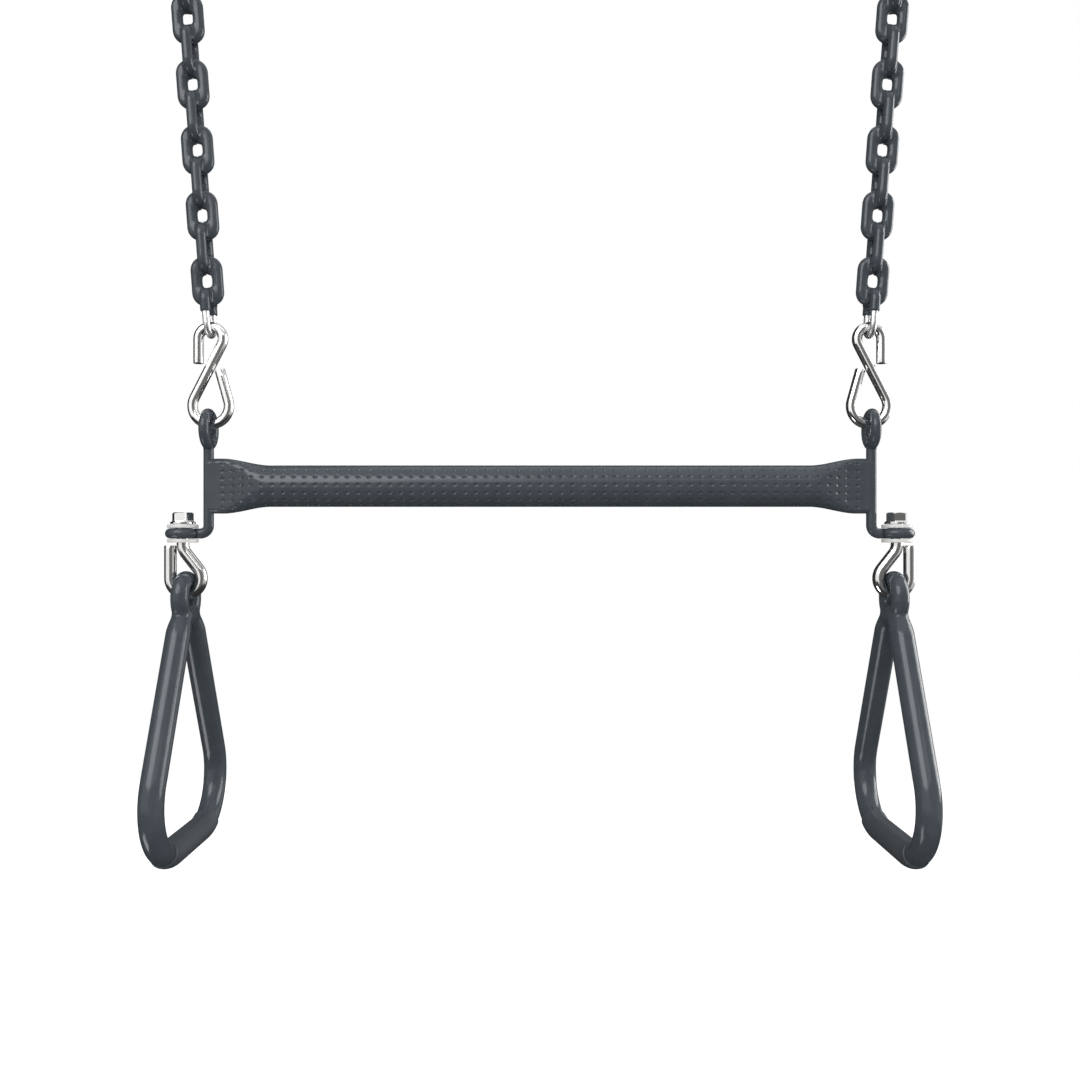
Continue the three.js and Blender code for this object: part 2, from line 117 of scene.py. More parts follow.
@dataclass
class Shape:
    """A mesh in the making: points in millimetres, and faces with the finish that each one wears."""

    points: list[Vector]
    faces: list[tuple[int, ...]]
    finishes: list[int]

    @classmethod
    def lofted(cls, rings: list[list[Vector]], closed: bool = False) -> Shape:
        """Joins rings of equally many points with a skin of four-sided faces.

        Args:
            rings: Rings that run counterclockwise about the way they follow each other.
            closed: Whether the last ring joins the first. Otherwise both ends get a flat cap.

        Returns:
            The skin.
        """
        count = len(rings[0])
        faces = []
        for i in range(len(rings) if closed else len(rings) - 1):
            here = i * count
            there = (i + 1) % len(rings) * count
            for j in range(count):
                k = (j + 1) % count
                faces.append((here + j, here + k, there + k, there + j))
        if not closed:
            end = (len(rings) - 1) * count
            faces.append(tuple(reversed(range(count))))
            faces.append(tuple(range(end, end + count)))
        return cls([point for ring in rings for point in ring], faces, [0] * len(faces))

    def add(self, other: Shape) -> None:
        """Takes in a copy of another shape.

        Args:
            other: The shape to copy.
        """
        base = len(self.points)
        self.points.extend(other.points)
        self.faces.extend(tuple(base + corner for corner in face) for face in other.faces)
        self.finishes.extend(other.finishes)

    def moved(self, matrix: Matrix) -> Shape:
        """Gives a copy under a matrix, with its faces turned back where the matrix mirrors it.

        Args:
            matrix: The matrix.

        Returns:
            The copy.
        """
        turn = matrix.determinant() < 0
        faces = [tuple(reversed(face)) if turn else face for face in self.faces]
        return Shape([matrix @ point for point in self.points], faces, list(self.finishes))

    def to_mesh(self, name: str, finishes: list[bpy.types.Material], crease: float) -> bpy.types.Mesh:
        """Makes a smooth-shaded Blender mesh in metres.

        Args:
            name: The mesh's name.
            finishes: The materials that the faces' finish numbers stand for.
            crease: The angle in degrees over which an edge stays sharp.

        Returns:
            The mesh.
        """
        mesh = bpy.data.meshes.new(name)
        mesh.from_pydata([point * MM for point in self.points], [], self.faces)
        for material in finishes:
            mesh.materials.append(material)
        mesh.polygons.foreach_set("material_index", self.finishes)
        mesh.shade_smooth()
        mesh.set_sharp_from_angle(angle=math.radians(crease))
        mesh.validate()
        mesh.update()
        return mesh


@dataclass(frozen=True)
class Station:
    """A place along a wire at which its section is drawn."""

    at: Vector
    heading: Vector
    side: Vector
    radius: float

    def ring(self, sides: int) -> list[Vector]:
        """Gives the section's points, counterclockwise about the heading.

        Args:
            sides: Their number.

        Returns:
            The points.
        """
        other = self.heading.cross(self.side)
        points = []
        for k in range(sides):
            angle = math.tau * k / sides
            offset = self.side * math.cos(angle) + other * math.sin(angle)
            points.append(self.at + offset * self.radius)
        return points


class BentWire:
    """A wire followed as a bender makes it: straight runs, and bends about the current axis."""

    def __init__(self, start: Vector, heading: Vector, axis: Vector, diameter: float) -> None:
        """Starts a wire.

        Args:
            start: Where the wire starts.
            heading: The way it sets out.
            axis: What its first bends turn about, at right angles to the heading.
            diameter: The wire's diameter.
        """
        self.at = start.copy()
        self.heading = heading.normalized()
        self.axis = axis.normalized()
        self.side = self.axis.cross(self.heading)
        self.radius = diameter / 2
        self.stations: list[Station] = []
        self._mark()

    def _mark(self) -> None:
        """Keeps a station here."""
        place = (self.at.copy(), self.heading.copy(), self.side.copy())
        self.stations.append(Station(*place, self.radius))

    def straight(self, length: float, count: int = 1) -> BentWire:
        """Runs straight on.

        Args:
            length: How far.
            count: The number of stations on the way.

        Returns:
            The wire itself.
        """
        for _ in range(count):
            self.at = self.at + self.heading * (length / count)
            self._mark()
        return self

    def bend(self, radius: float, turn: float, step: float = 6.0) -> BentWire:
        """Bends about the current axis.

        Args:
            radius: The bend's radius at the wire's centre.
            turn: The angle in degrees, negative for the other way.
            step: The most degrees between stations.

        Returns:
            The wire itself.
        """
        count = math.ceil(abs(turn) / step)
        inward = self.axis.cross(self.heading)
        centre = self.at + inward * math.copysign(radius, turn)
        part = Matrix.Rotation(math.radians(turn) / count, 3, self.axis)
        for _ in range(count):
            self.at = centre + part @ (self.at - centre)
            self.heading = part @ self.heading
            self.side = part @ self.side
            self._mark()
        return self

    def bend_about(self, axis: Vector) -> BentWire:
        """Changes the axis of the bends to come."""
        self.axis = axis.normalized()
        return self

    def round_ends(self, depth: float, steps: int = 3) -> BentWire:
        """Rounds the edge of both cut ends.

        Args:
            depth: The radius of the rounded edge.
            steps: The number of facets across it.

        Returns:
            The wire itself.
        """
        first, last = self.stations[0], self.stations[-1]
        angles = [math.pi / 2 * k / steps for k in range(steps + 1)]
        start = [self._worn(first, depth, angle, 1) for angle in angles]
        end = [self._worn(last, depth, angle, -1) for angle in reversed(angles)]
        self.stations = start + self.stations[1:-1] + end
        return self

    @staticmethod
    def _worn(station: Station, depth: float, angle: float, way: int) -> Station:
        """Gives a station of an end's rounded edge.

        Args:
            station: The cut end.
            depth: The edge's radius.
            angle: How far round the edge the station lies from the end's face, in radians.
            way: 1 at the wire's start and -1 at its end.

        Returns:
            The station.
        """
        at = station.at + station.heading * (way * depth * (1 - math.cos(angle)))
        radius = station.radius - depth * (1 - math.sin(angle))
        return Station(at, station.heading, station.side, radius)

    def shape(self, sides: int) -> Shape:
        """Makes the wire's skin."""
        return Shape.lofted([station.ring(sides) for station in self.stations])


Profile = list[tuple[float, float]]


def turned(profile: Profile, sides: int) -> Shape:
    """Turns a closed profile about the Z axis.

    Args:
        profile: Radius and height of each point, with the solid on the left of the way they run.
        sides: The number of facets round the axis.

    Returns:
        The ring.
    """
    rings = []
    for k in range(sides):
        angle = -math.tau * k / sides
        across = Vector((math.cos(angle), math.sin(angle), 0.0))
        rings.append([across * radius + Z * height for radius, height in profile])
    return Shape.lofted(rings, closed=True)


def washer_profile(inner: float, outer: float, foot: float, top: float, edge: float) -> Profile:
    """Gives a washer's closed section with a rounded outer edge and a broken inner edge.

    Args:
        inner: The bore's radius.
        outer: The outer radius.
        foot: The height of the lower face.
        top: The height of the upper face.
        edge: The radius of the outer edges.

    Returns:
        Radius and height of each point.
    """
    steps = 4
    turns = [math.pi / 2 * k / steps for k in range(steps + 1)]
    arc = [(edge * (1 - math.sin(turn)), edge * (1 - math.cos(turn))) for turn in turns]
    lower = [(outer - inward, foot + rise) for inward, rise in arc]
    upper = [(outer - inward, top - rise) for inward, rise in reversed(arc)]
    start = [(inner, foot + edge / 2), (inner + edge / 2, foot)]
    end = [(inner + edge / 2, top), (inner, top - edge / 2)]
    return start + lower + upper + end


def net_round(
    field_at: Callable[[np.ndarray], np.ndarray], low: Vector, high: Vector, step: float
) -> Shape:
    """Skins the solid inside a distance field with a net of four-sided faces.

    Args:
        field_at: Gives the distance outside the solid, negative inside, of an array of points.
        low: The lowest corner of a box round the solid.
        high: The highest corner of that box.
        step: The net's mesh width.

    Returns:
        The skin, its points settled on the solid's surface.
    """
    axes = [np.arange(start, end + step, step) for start, end in zip(low, high)]
    grid = np.stack(np.meshgrid(*axes, indexing="ij"), axis=-1)
    values = field_at(grid)
    cells_along = [count - 1 for count in values.shape]
    total = np.zeros((*cells_along, 3))
    cuts = np.zeros(cells_along)
    for axis in range(3):
        for others in itertools.product((0, 1), repeat=2):
            corner = [*others[:axis], 0, *others[axis:]]
            first = tuple(slice(start, start + cells) for start, cells in zip(corner, cells_along))
            corner[axis] = 1
            second = tuple(slice(start, start + cells) for start, cells in zip(corner, cells_along))
            crossed = (values[first] < 0) != (values[second] < 0)
            gap = np.where(crossed, values[first] - values[second], 1.0)
            share = (values[first] / gap)[..., None]
            cut = grid[first] * (1 - share) + grid[second] * share
            total += np.where(crossed[..., None], cut, 0.0)
            cuts += crossed
    used = cuts > 0
    numbers = np.cumsum(used).reshape(used.shape) - 1
    points = total[used] / cuts[used][:, None]
    nudge, longest_move, least_steep, rounds = step / 10, step / 3, 0.3, 3
    for _ in range(rounds):
        sides = [field_at(points + way) - field_at(points - way) for way in np.eye(3) * nudge]
        slope = np.stack(sides, axis=-1) / (2 * nudge)
        steep = np.maximum((slope**2).sum(axis=-1), least_steep)
        move = np.clip(field_at(points) / steep, -longest_move, longest_move)
        points = points - slope * move[:, None]
    faces = []
    for axis in range(3):
        after = np.moveaxis(values < 0, axis, 0)
        cells = np.moveaxis(numbers, axis, 0)
        if axis == 1:
            after, cells = after.swapaxes(1, 2), cells.swapaxes(1, 2)
        starts = after[:-1, 1:-1, 1:-1]
        crossed = starts != after[1:, 1:-1, 1:-1]
        around = [cells[:, :-1, :-1], cells[:, 1:, :-1], cells[:, 1:, 1:], cells[:, :-1, 1:]]
        loops = np.stack([corner[crossed] for corner in around], axis=-1)
        loops[~starts[crossed]] = loops[~starts[crossed]][:, ::-1]
        faces.extend(tuple(loop) for loop in loops.tolist())
    return Shape([Vector(point) for point in points.tolist()], faces, [0] * len(faces))


Number = TypeVar("Number", float, np.ndarray)


def smooth_step(share: Number) -> Number:
    """Eases a share in and out, held between 0 and 1."""
    clipped = np.clip(share, 0.0, 1.0)
    return clipped * clipped * (3 - 2 * clipped)


def smooth_min(first: np.ndarray, second: np.ndarray, reach: Number) -> np.ndarray:
    """Gives the smaller of two distances, blended where they differ by less than a reach."""
    blend = np.maximum(reach - np.abs(first - second), 0.0)
    return np.minimum(first, second) - blend * blend / (4 * reach)


def smooth_max(first: np.ndarray, second: np.ndarray, reach: Number) -> np.ndarray:
    """Gives the larger of two distances, blended where they differ by less than a reach."""
    return -smooth_min(-first, -second, reach)


def lerp(start: float, end: float, share: float) -> float:
    """Goes a share of the way from one value to another."""
    return start + (end - start) * share


# Finishes


def linear(colour: str) -> tuple[float, float, float, float]:
    """Turns a colour into linear light.

    Args:
        colour: An sRGB hex colour such as "#474d53".

    Returns:
        Red, green, blue and alpha.
    """
    channels = [int(colour[k : k + 2], 16) / 255 for k in (1, 3, 5)]
    straight = [c / 12.92 if c <= 0.04045 else ((c + 0.055) / 1.055) ** 2.4 for c in channels]
    return (straight[0], straight[1], straight[2], 1.0)


def add_node(
    tree: bpy.types.NodeTree,
    kind: str,
    settings: dict[str, object] | None = None,
    inputs: dict[str, object] | None = None,
) -> bpy.types.Node:
    """Adds a node with its settings and inputs.

    Args:
        tree: The node tree that takes it.
        kind: The node's type.
        settings: Its properties by name.
        inputs: Its sockets by name or number, each with a value or with the socket to link from.

    Returns:
        The node.
    """
    node = tree.nodes.new(kind)
    for name, value in (settings or {}).items():
        setattr(node, name, value)
    for name, value in (inputs or {}).items():
        socket = node.inputs[int(name)] if name.isdigit() else node.inputs[name]
        if isinstance(value, bpy.types.NodeSocket):
            tree.links.new(value, socket)
        else:
            socket.default_value = value
    return node


def new_material(name: str) -> tuple[bpy.types.Material, bpy.types.NodeTree]:
    """Makes an empty node material.

    Args:
        name: Its name.

    Returns:
        The material and its node tree.
    """
    material = bpy.data.materials.new(name)
    material.use_nodes = True
    material.node_tree.nodes.clear()
    return material, material.node_tree


@dataclass(frozen=True)
class Finish:
    """What every finish has: a colour, a gloss that wanders from smooth to rough, and fine marks.

    A share of 0 leaves out the cloud of the second colour, and a height of 0 the marks' relief. A
    span is the part of a noise's range that takes a value from one end to the other.
    """

    name: str
    colour: str
    smooth: float
    rough: float
    cloud_colour: str = ""
    cloud_share: float = 0.0
    cloud_span: tuple[float, float] = (0.35, 0.65)
    cloud_mm: float = 12.0
    cloud_detail: float = 2.0
    gloss_by_cloud: bool = False
    gloss_span: tuple[float, float] = (0.0, 1.0)
    mark_mm: float = 1.0
    mark_detail: float = 2.0
    mark_height_mm: float = 0.0
    metallic: float = 0.0
    ior: float = 1.5
    specular_level: float = 0.5

    def build(self) -> bpy.types.Material:
        """Makes the material.

        Returns:
            The material.
        """
        material, tree = new_material(self.name)
        place = add_node(tree, "ShaderNodeTexCoord").outputs["Object"]
        sizes = [(self.mark_mm, self.mark_detail)]
        if self.cloud_share > 0:
            sizes.append((self.cloud_mm, self.cloud_detail))
        noises = []
        for size, detail in sizes:
            grain = {"Vector": place, "Scale": 1 / (size * MM), "Detail": detail}
            noises.append(add_node(tree, "ShaderNodeTexNoise", inputs=grain).outputs["Fac"])
        marks, cloud = noises[0], noises[-1]
        inputs: dict[str, object] = {
            "Base Color": linear(self.colour),
            "Metallic": self.metallic,
            "IOR": self.ior,
            "Specular IOR Level": self.specular_level,
        }
        if self.cloud_share > 0:
            low, high = self.cloud_span
            span = {"0": cloud, "1": low, "2": high, "4": self.cloud_share}
            share = add_node(tree, "ShaderNodeMapRange", inputs=span).outputs[0]
            mix = {"0": share, "6": linear(self.colour), "7": linear(self.cloud_colour)}
            mixer = add_node(tree, "ShaderNodeMix", {"data_type": "RGBA"}, mix)
            inputs["Base Color"] = mixer.outputs[2]
        low, high = self.gloss_span
        driver = cloud if self.gloss_by_cloud else marks
        span = {"0": driver, "1": low, "2": high, "3": self.smooth, "4": self.rough}
        inputs["Roughness"] = add_node(tree, "ShaderNodeMapRange", inputs=span).outputs[0]
        if self.mark_height_mm > 0:
            relief = {"Strength": 1.0, "Distance": self.mark_height_mm * MM, "Height": marks}
            inputs["Normal"] = add_node(tree, "ShaderNodeBump", inputs=relief).outputs[0]
        shader = add_node(tree, "ShaderNodeBsdfPrincipled", inputs=inputs).outputs[0]
        add_node(tree, "ShaderNodeOutputMaterial", inputs={"Surface": shader})
        return material


@dataclass(frozen=True)
class DippedVinyl(Finish):
    """Plastisol, a soft PVC coat baked on from a dip: glossy, faintly rippled, dark slate."""

    name: str = "dipped_vinyl_slate"
    colour: str = "#454b51"
    smooth: float = 0.14
    rough: float = 0.2
    cloud_colour: str = "#4a5056"
    cloud_share: float = 1.0
    cloud_span: tuple[float, float] = (0.35, 0.65)
    cloud_mm: float = 14.0
    cloud_detail: float = 3.0
    mark_mm: float = 2.4
    mark_height_mm: float = 0.002
    specular_level: float = 0.22


@dataclass(frozen=True)
class PlatedSteel(Finish):
    """Steel under bright zinc or nickel plate, drawn or turned: a mirror with fine marks.

    The real marks are finer than 0.1 mm. They are drawn at 0.6 mm, so that they show.
    """

    cloud_colour: str = "#d6d6d5"
    cloud_share: float = 0.12
    cloud_span: tuple[float, float] = (0.4, 0.7)
    cloud_mm: float = 12.0
    gloss_span: tuple[float, float] = (0.3, 0.7)
    gloss_by_cloud: bool = True
    mark_mm: float = 0.6
    mark_height_mm: float = 0.0002
    metallic: float = 1.0


@dataclass(frozen=True)
class DippedZinc(PlatedSteel):
    """Steel under a hot-dipped zinc skin: grey, spangled and half dull."""

    name: str = "hot_dipped_zinc_link"
    colour: str = "#dcdcdc"
    smooth: float = 0.42
    rough: float = 0.525
    cloud_colour: str = "#b4b4b4"
    cloud_share: float = 0.6
    cloud_mm: float = 2.2
    mark_mm: float = 1.0
    mark_height_mm: float = 0.015


@dataclass(frozen=True)
class GripVinyl(Finish):
    """Moulded soft PVC of a grip sleeve: the coat's slate with a satin, finely grained skin."""

    name: str = "moulded_vinyl_slate"
    colour: str = "#454b50"
    smooth: float = 0.43
    rough: float = 0.56
    mark_mm: float = 0.9
    mark_detail: float = 3.0
    mark_height_mm: float = 0.03
    specular_level: float = 0.25


@dataclass(frozen=True)
class PunchedNylon(Finish):
    """Natural nylon 6 punched from sheet: milky white, waxy, with a soft sheen."""

    name: str = "natural_nylon"
    colour: str = "#e4e4e3"
    smooth: float = 0.4
    rough: float = 0.5
    mark_mm: float = 3.0
    ior: float = 1.53


@dataclass
class Finishes:
    """Every finish on the object, each made once."""

    coat: bpy.types.Material
    grip: bpy.types.Material
    bright_wire: bpy.types.Material
    bare_link: bpy.types.Material
    swivel: bpy.types.Material
    nut: bpy.types.Material
    nylon: bpy.types.Material

    @classmethod
    def make(cls) -> Finishes:
        """Makes them all.

        Returns:
            The finishes.
        """
        return cls(
            coat=DippedVinyl().build(),
            grip=GripVinyl().build(),
            bright_wire=PlatedSteel("bright_zinc_wire", "#f9f9f8", 0.13, 0.1625).build(),
            bare_link=DippedZinc().build(),
            swivel=PlatedSteel("nickel_plated_hook", "#e9e8e7", 0.15, 0.1875).build(),
            nut=PlatedSteel("bright_zinc_nut", "#ececeb", 0.12, 0.15).build(),
            nylon=PunchedNylon().build(),
        )


# Places that the frame gives


@dataclass(frozen=True)
class Layout:
    """Heights and offsets of the bearing points on the side of +X, in millimetres."""

    bar_z: float
    rod_x: float
    swivel_x: float
    lower_eye_z: float
    swivel_foot: float
    ring_x: float
    lower_hook: Vector
    upper_hook: Vector
    links: tuple[Vector, ...]
    lean: float

    @classmethod
    def read(cls, frame: dict, rod_radius: float, link_count: int) -> Layout:
        """Reads the places from the frame's joints and boxes.

        Args:
            rod_radius: The hanger rod's radius.
            link_count: The number of links in one chain.

        Returns:
            The layout.
        """
        joints = {joint["name"]: Vector(joint["pos_m"]) / MM for joint in frame["joints"]}
        tube_low, tube_high = (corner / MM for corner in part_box("bar_tube"))
        rod_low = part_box("right_hanger_rod")[0] / MM
        links = []
        for number in range(1, link_count + 1):
            low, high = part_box(f"right_chain_link_{number}")
            links.append((low + high) / 2 / MM)
        rise = links[1] - links[-2]
        slope = rise.x / rise.z
        foot_z = joints["bar_hinge"].z
        chain_foot_z = joints["s_hook_hinge"].z
        chain_top_z = joints["chain_row_1_hinge"].z
        foot_x = links[-2].x - slope * (links[-2].z - chain_foot_z)
        top_x = links[1].x + slope * (chain_top_z - links[1].z)
        return cls(
            bar_z=(tube_low.z + tube_high.z) / 2,
            rod_x=rod_low.x + rod_radius,
            swivel_x=joints["right_swivel_spin"].x,
            lower_eye_z=joints["right_swivel_spin"].z,
            swivel_foot=joints["right_ring_hinge"].z,
            ring_x=joints["right_ring_hinge"].x,
            lower_hook=Vector((foot_x, 0.0, foot_z)),
            upper_hook=Vector((top_x, 0.0, chain_top_z)),
            links=tuple(links),
            lean=math.atan(slope),
        )


def add_object(name: str, data: bpy.types.ID) -> bpy.types.Object:
    """Puts a mesh, a lamp or a camera in the scene.

    Args:
        name: The object's name.
        data: The mesh, lamp or camera.

    Returns:
        The object.
    """
    added = bpy.data.objects.new(name, data)
    bpy.context.scene.collection.objects.link(added)
    return added


def publish(name: str, mesh: bpy.types.Mesh, body: str, node: str) -> bpy.types.Object:
    """Puts a finished mesh in the scene, on its body and in its CAD node's place.

    Args:
        name: The piece's name.
        mesh: Its mesh.
        body: The body that it moves with.
        node: The CAD node that it stands for.

    Returns:
        The piece.
    """
    piece = add_object(name, mesh)
    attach(piece, body)
    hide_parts(node)
    LOG.info("%s stands for %s on %s: %d faces", name, node, body, len(mesh.polygons))
    return piece


def publish_pair(
    name: str,
    shape: Shape,
    finishes: list[bpy.types.Material],
    bodies: dict[Side, str],
    node: str,
    crease: float = 40.0,
) -> None:
    """Publishes a shape on the side of +X and its mirror image on the other side.

    Args:
        name: The piece's name without its side.
        shape: The shape on the side of +X.
        finishes: The materials of its faces.
        bodies: The body on each side.
        node: The CAD node's name without its side.
        crease: The angle in degrees over which an edge stays sharp.
    """
    for side in Side:
        placed = shape if side is Side.RIGHT else shape.moved(MIRROR)
        label = f"{side.label}_{name}"
        mesh = placed.to_mesh(label, finishes, crease)
        publish(label, mesh, bodies[side], f"{side.label}_{node}")


# The bar and its rods


@dataclass(frozen=True)
class BarTube:
    """Steel tube with flat-pressed ends and small pressed dimples, dipped in vinyl."""

    layout: Layout
    diameter: float = 31.75
    wall: float = 2.0
    flat_height: float = 42.0
    flat_thickness: float = 11.4
    corner_radius: float = 4.0
    press_length: float = 36.5
    flat_start_from_rod: float = 11.0
    rod_diameter: float = 7.8
    merge_length: float = 9.0
    merge_proud: float = 0.05
    dimple_pitch: float = 8.06
    last_plain_dimple: int = 26
    pressed_dimples: tuple[float, ...] = (218.5, 226.2, 234.0, 241.5)
    dimple_rows: int = 16
    dimple_row_turn: float = 0.7
    dimple_flat_turn: float = 20.0
    dimple_flat_rows: float = 3.5
    dimple_half_length: float = 2.2
    dimple_half_width: float = 1.3
    dimple_depth: float = 1.0
    dimple_fullness: float = 0.75
    dimple_offsets: tuple[float, ...] = (0.0, 0.4, 0.9, 1.4, 1.9, 2.22, 2.9)
    row_offsets: tuple[float, ...] = (0.0, 0.55, 1.05, 1.31, 2.2)
    tail_steps: int = 14
    bore_steps: int = 60
    crease: float = 50.0

    def _half_sizes(self, x: float, inset: float) -> tuple[float, float, float]:
        """Gives half the thickness, half the height and the corner's radius of a section.

        Args:
            x: The place along the tube.
            inset: How far the section lies inside the skin.

        Returns:
            The three sizes. The coat draws the last stretch in until it meets the hanger rod.
        """
        radius = self.diameter / 2
        ends = (self.flat_thickness / 2, self.flat_height / 2, self.corner_radius)
        pressed = self._pressed(x)
        thick, high, corner = (lerp(radius, end, pressed) - inset for end in ends)
        merged = smooth_step((abs(x) - self.layout.rod_x + self.merge_length) / self.merge_length)
        drawn_in = self.flat_thickness / 2 - self.rod_diameter / 2 - self.merge_proud
        thick -= drawn_in * merged
        return thick, high, min(corner, thick - self.merge_proud)

    def _pressed(self, x: float) -> float:
        """Gives how far the tube is pressed at a place along it, from 0 to 1."""
        flat_start = self.layout.rod_x - self.flat_start_from_rod
        return smooth_step((abs(x) - flat_start + self.press_length) / self.press_length)

    @staticmethod
    def _section_point(x: float, turn: float, half_sizes: tuple[float, float, float]) -> Vector:
        """Gives a skin point at a place along the tube and an angle up from its front.

        Args:
            x: The place along the tube.
            turn: Degrees round the section, of which each quarter takes 90 at an even pace.
            half_sizes: What _half_sizes gives for that place.

        Returns:
            The point.
        """
        up = 1 if turn % 360 <= 180 else -1
        front = 1 if turn % 360 <= 90 or turn % 360 >= 270 else -1
        share = abs((turn + 90) % 180 - 90) / 90
        thick, high, corner = half_sizes
        side = high - corner
        fold = math.pi / 2 * corner
        along = share * (side + fold + thick - corner)
        if along <= side:
            y, z = thick, along
        elif along >= side + fold:
            y, z = thick - corner - (along - side - fold), high
        else:
            angle = (along - side) / corner
            y, z = thick - corner + corner * math.cos(angle), side + corner * math.sin(angle)
        return Vector((x, -front * y, up * z))

    @property
    def _row_pitch(self) -> float:
        """Millimetres between two rows round the tube."""
        return math.pi * self.diameter / self.dimple_rows

    def _turn(self, row: float, pressed: float) -> float:
        """Gives how many degrees round the section a row lies, with rows counted from the front.

        Args:
            row: The row's number, or a place between two rows.
            pressed: How far the section is pressed.

        Returns:
            Degrees at the pace of _section_point.
        """
        half_rows = self.dimple_rows // 2
        flat_rows, flat_turn = self.dimple_flat_rows, self.dimple_flat_turn
        back = half_rows if row > half_rows / 2 else 0
        near = row - back
        on_round = 360 / self.dimple_rows * near + self.dimple_row_turn
        over = max(abs(near) - flat_rows, 0.0)
        edge_turn = (90 - flat_turn * flat_rows) / (half_rows / 2 - flat_rows)
        on_flat = flat_turn * min(abs(near), flat_rows) + edge_turn * over
        return lerp(on_round, math.copysign(on_flat, near), pressed) + 180 * back / half_rows

    def _dimple(self, along: float, across: float) -> float:
        """Gives how deep the skin is dented at a distance from a dimple's middle."""
        reach = (along / self.dimple_half_length) ** 2 + (across / self.dimple_half_width) ** 2
        return self.dimple_depth * max(1 - reach**self.dimple_fullness, 0.0)

    @staticmethod
    def _both_ways(offsets: tuple[float, ...]) -> list[float]:
        """Gives offsets to both sides of 0, in order."""
        return [-offset for offset in reversed(offsets[1:])] + list(offsets)

    def _stations(self) -> list[tuple[float, float]]:
        """Gives where the tube's section is drawn.

        Returns:
            Places along it, each with its nearest dimple.
        """
        plain = self._both_ways(tuple(self.dimple_pitch * k for k in range(self.last_plain_dimple + 1)))
        columns = [-x for x in reversed(self.pressed_dimples)] + plain + list(self.pressed_dimples)
        offsets = self._both_ways(self.dimple_offsets)
        places = [(column + offset, column) for column in columns for offset in offsets]
        last_x, last_column = places[-1]
        shares = [k / self.tail_steps for k in range(1, self.tail_steps + 1)]
        tail = [(lerp(last_x, self.layout.rod_x, share), last_column) for share in shares]
        head = [(-x, -column) for x, column in reversed(tail)]
        return head + places + tail

    def build(self) -> Shape:
        """Makes the tube with its bore open at both ends.

        Returns:
            The tube round the line X.
        """
        half_rows = self.dimple_rows // 2
        rows = range(1 - half_rows // 2, half_rows + half_rows // 2 + 1)
        offsets = self._both_ways(self.row_offsets)
        marks = [(row + offset / self._row_pitch, row, offset) for row in rows for offset in offsets]
        skin = []
        for x, column in self._stations():
            pressed = self._pressed(x)
            sizes = self._half_sizes(x, 0.0)
            ring = []
            for mark, row, offset in marks:
                turn = self._turn(mark, pressed)
                point = self._section_point(x, turn, sizes)
                depth = self._dimple(x - column, offset)
                if row % half_rows == half_rows // 2:
                    depth *= 1 - pressed
                if depth > 0:
                    before = self._section_point(x, turn - 1, sizes)
                    along_skin = self._section_point(x, turn + 1, sizes) - before
                    point = point + along_skin.cross(X).normalized() * depth
                ring.append(point)
            skin.append(ring)
        turns = [self._turn(mark, 1.0) for mark, _, _ in marks]
        bore = []
        for k in range(self.bore_steps + 1):
            x = lerp(self.layout.rod_x, -self.layout.rod_x, k / self.bore_steps)
            sizes = self._half_sizes(x, self.wall)
            bore.append([self._section_point(x, turn, sizes) for turn in turns])
        return Shape.lofted(skin + bore, closed=True)

    def dress(self, finishes: Finishes) -> None:
        """Publishes the tube.

        Args:
            finishes: The object's finishes.
        """
        shape = self.build().moved(Matrix.Translation(Z * self.layout.bar_z))
        mesh = shape.to_mesh("pressed_bar_tube", [finishes.coat], self.crease)
        publish("pressed_bar_tube", mesh, "bar", "bar_tube")


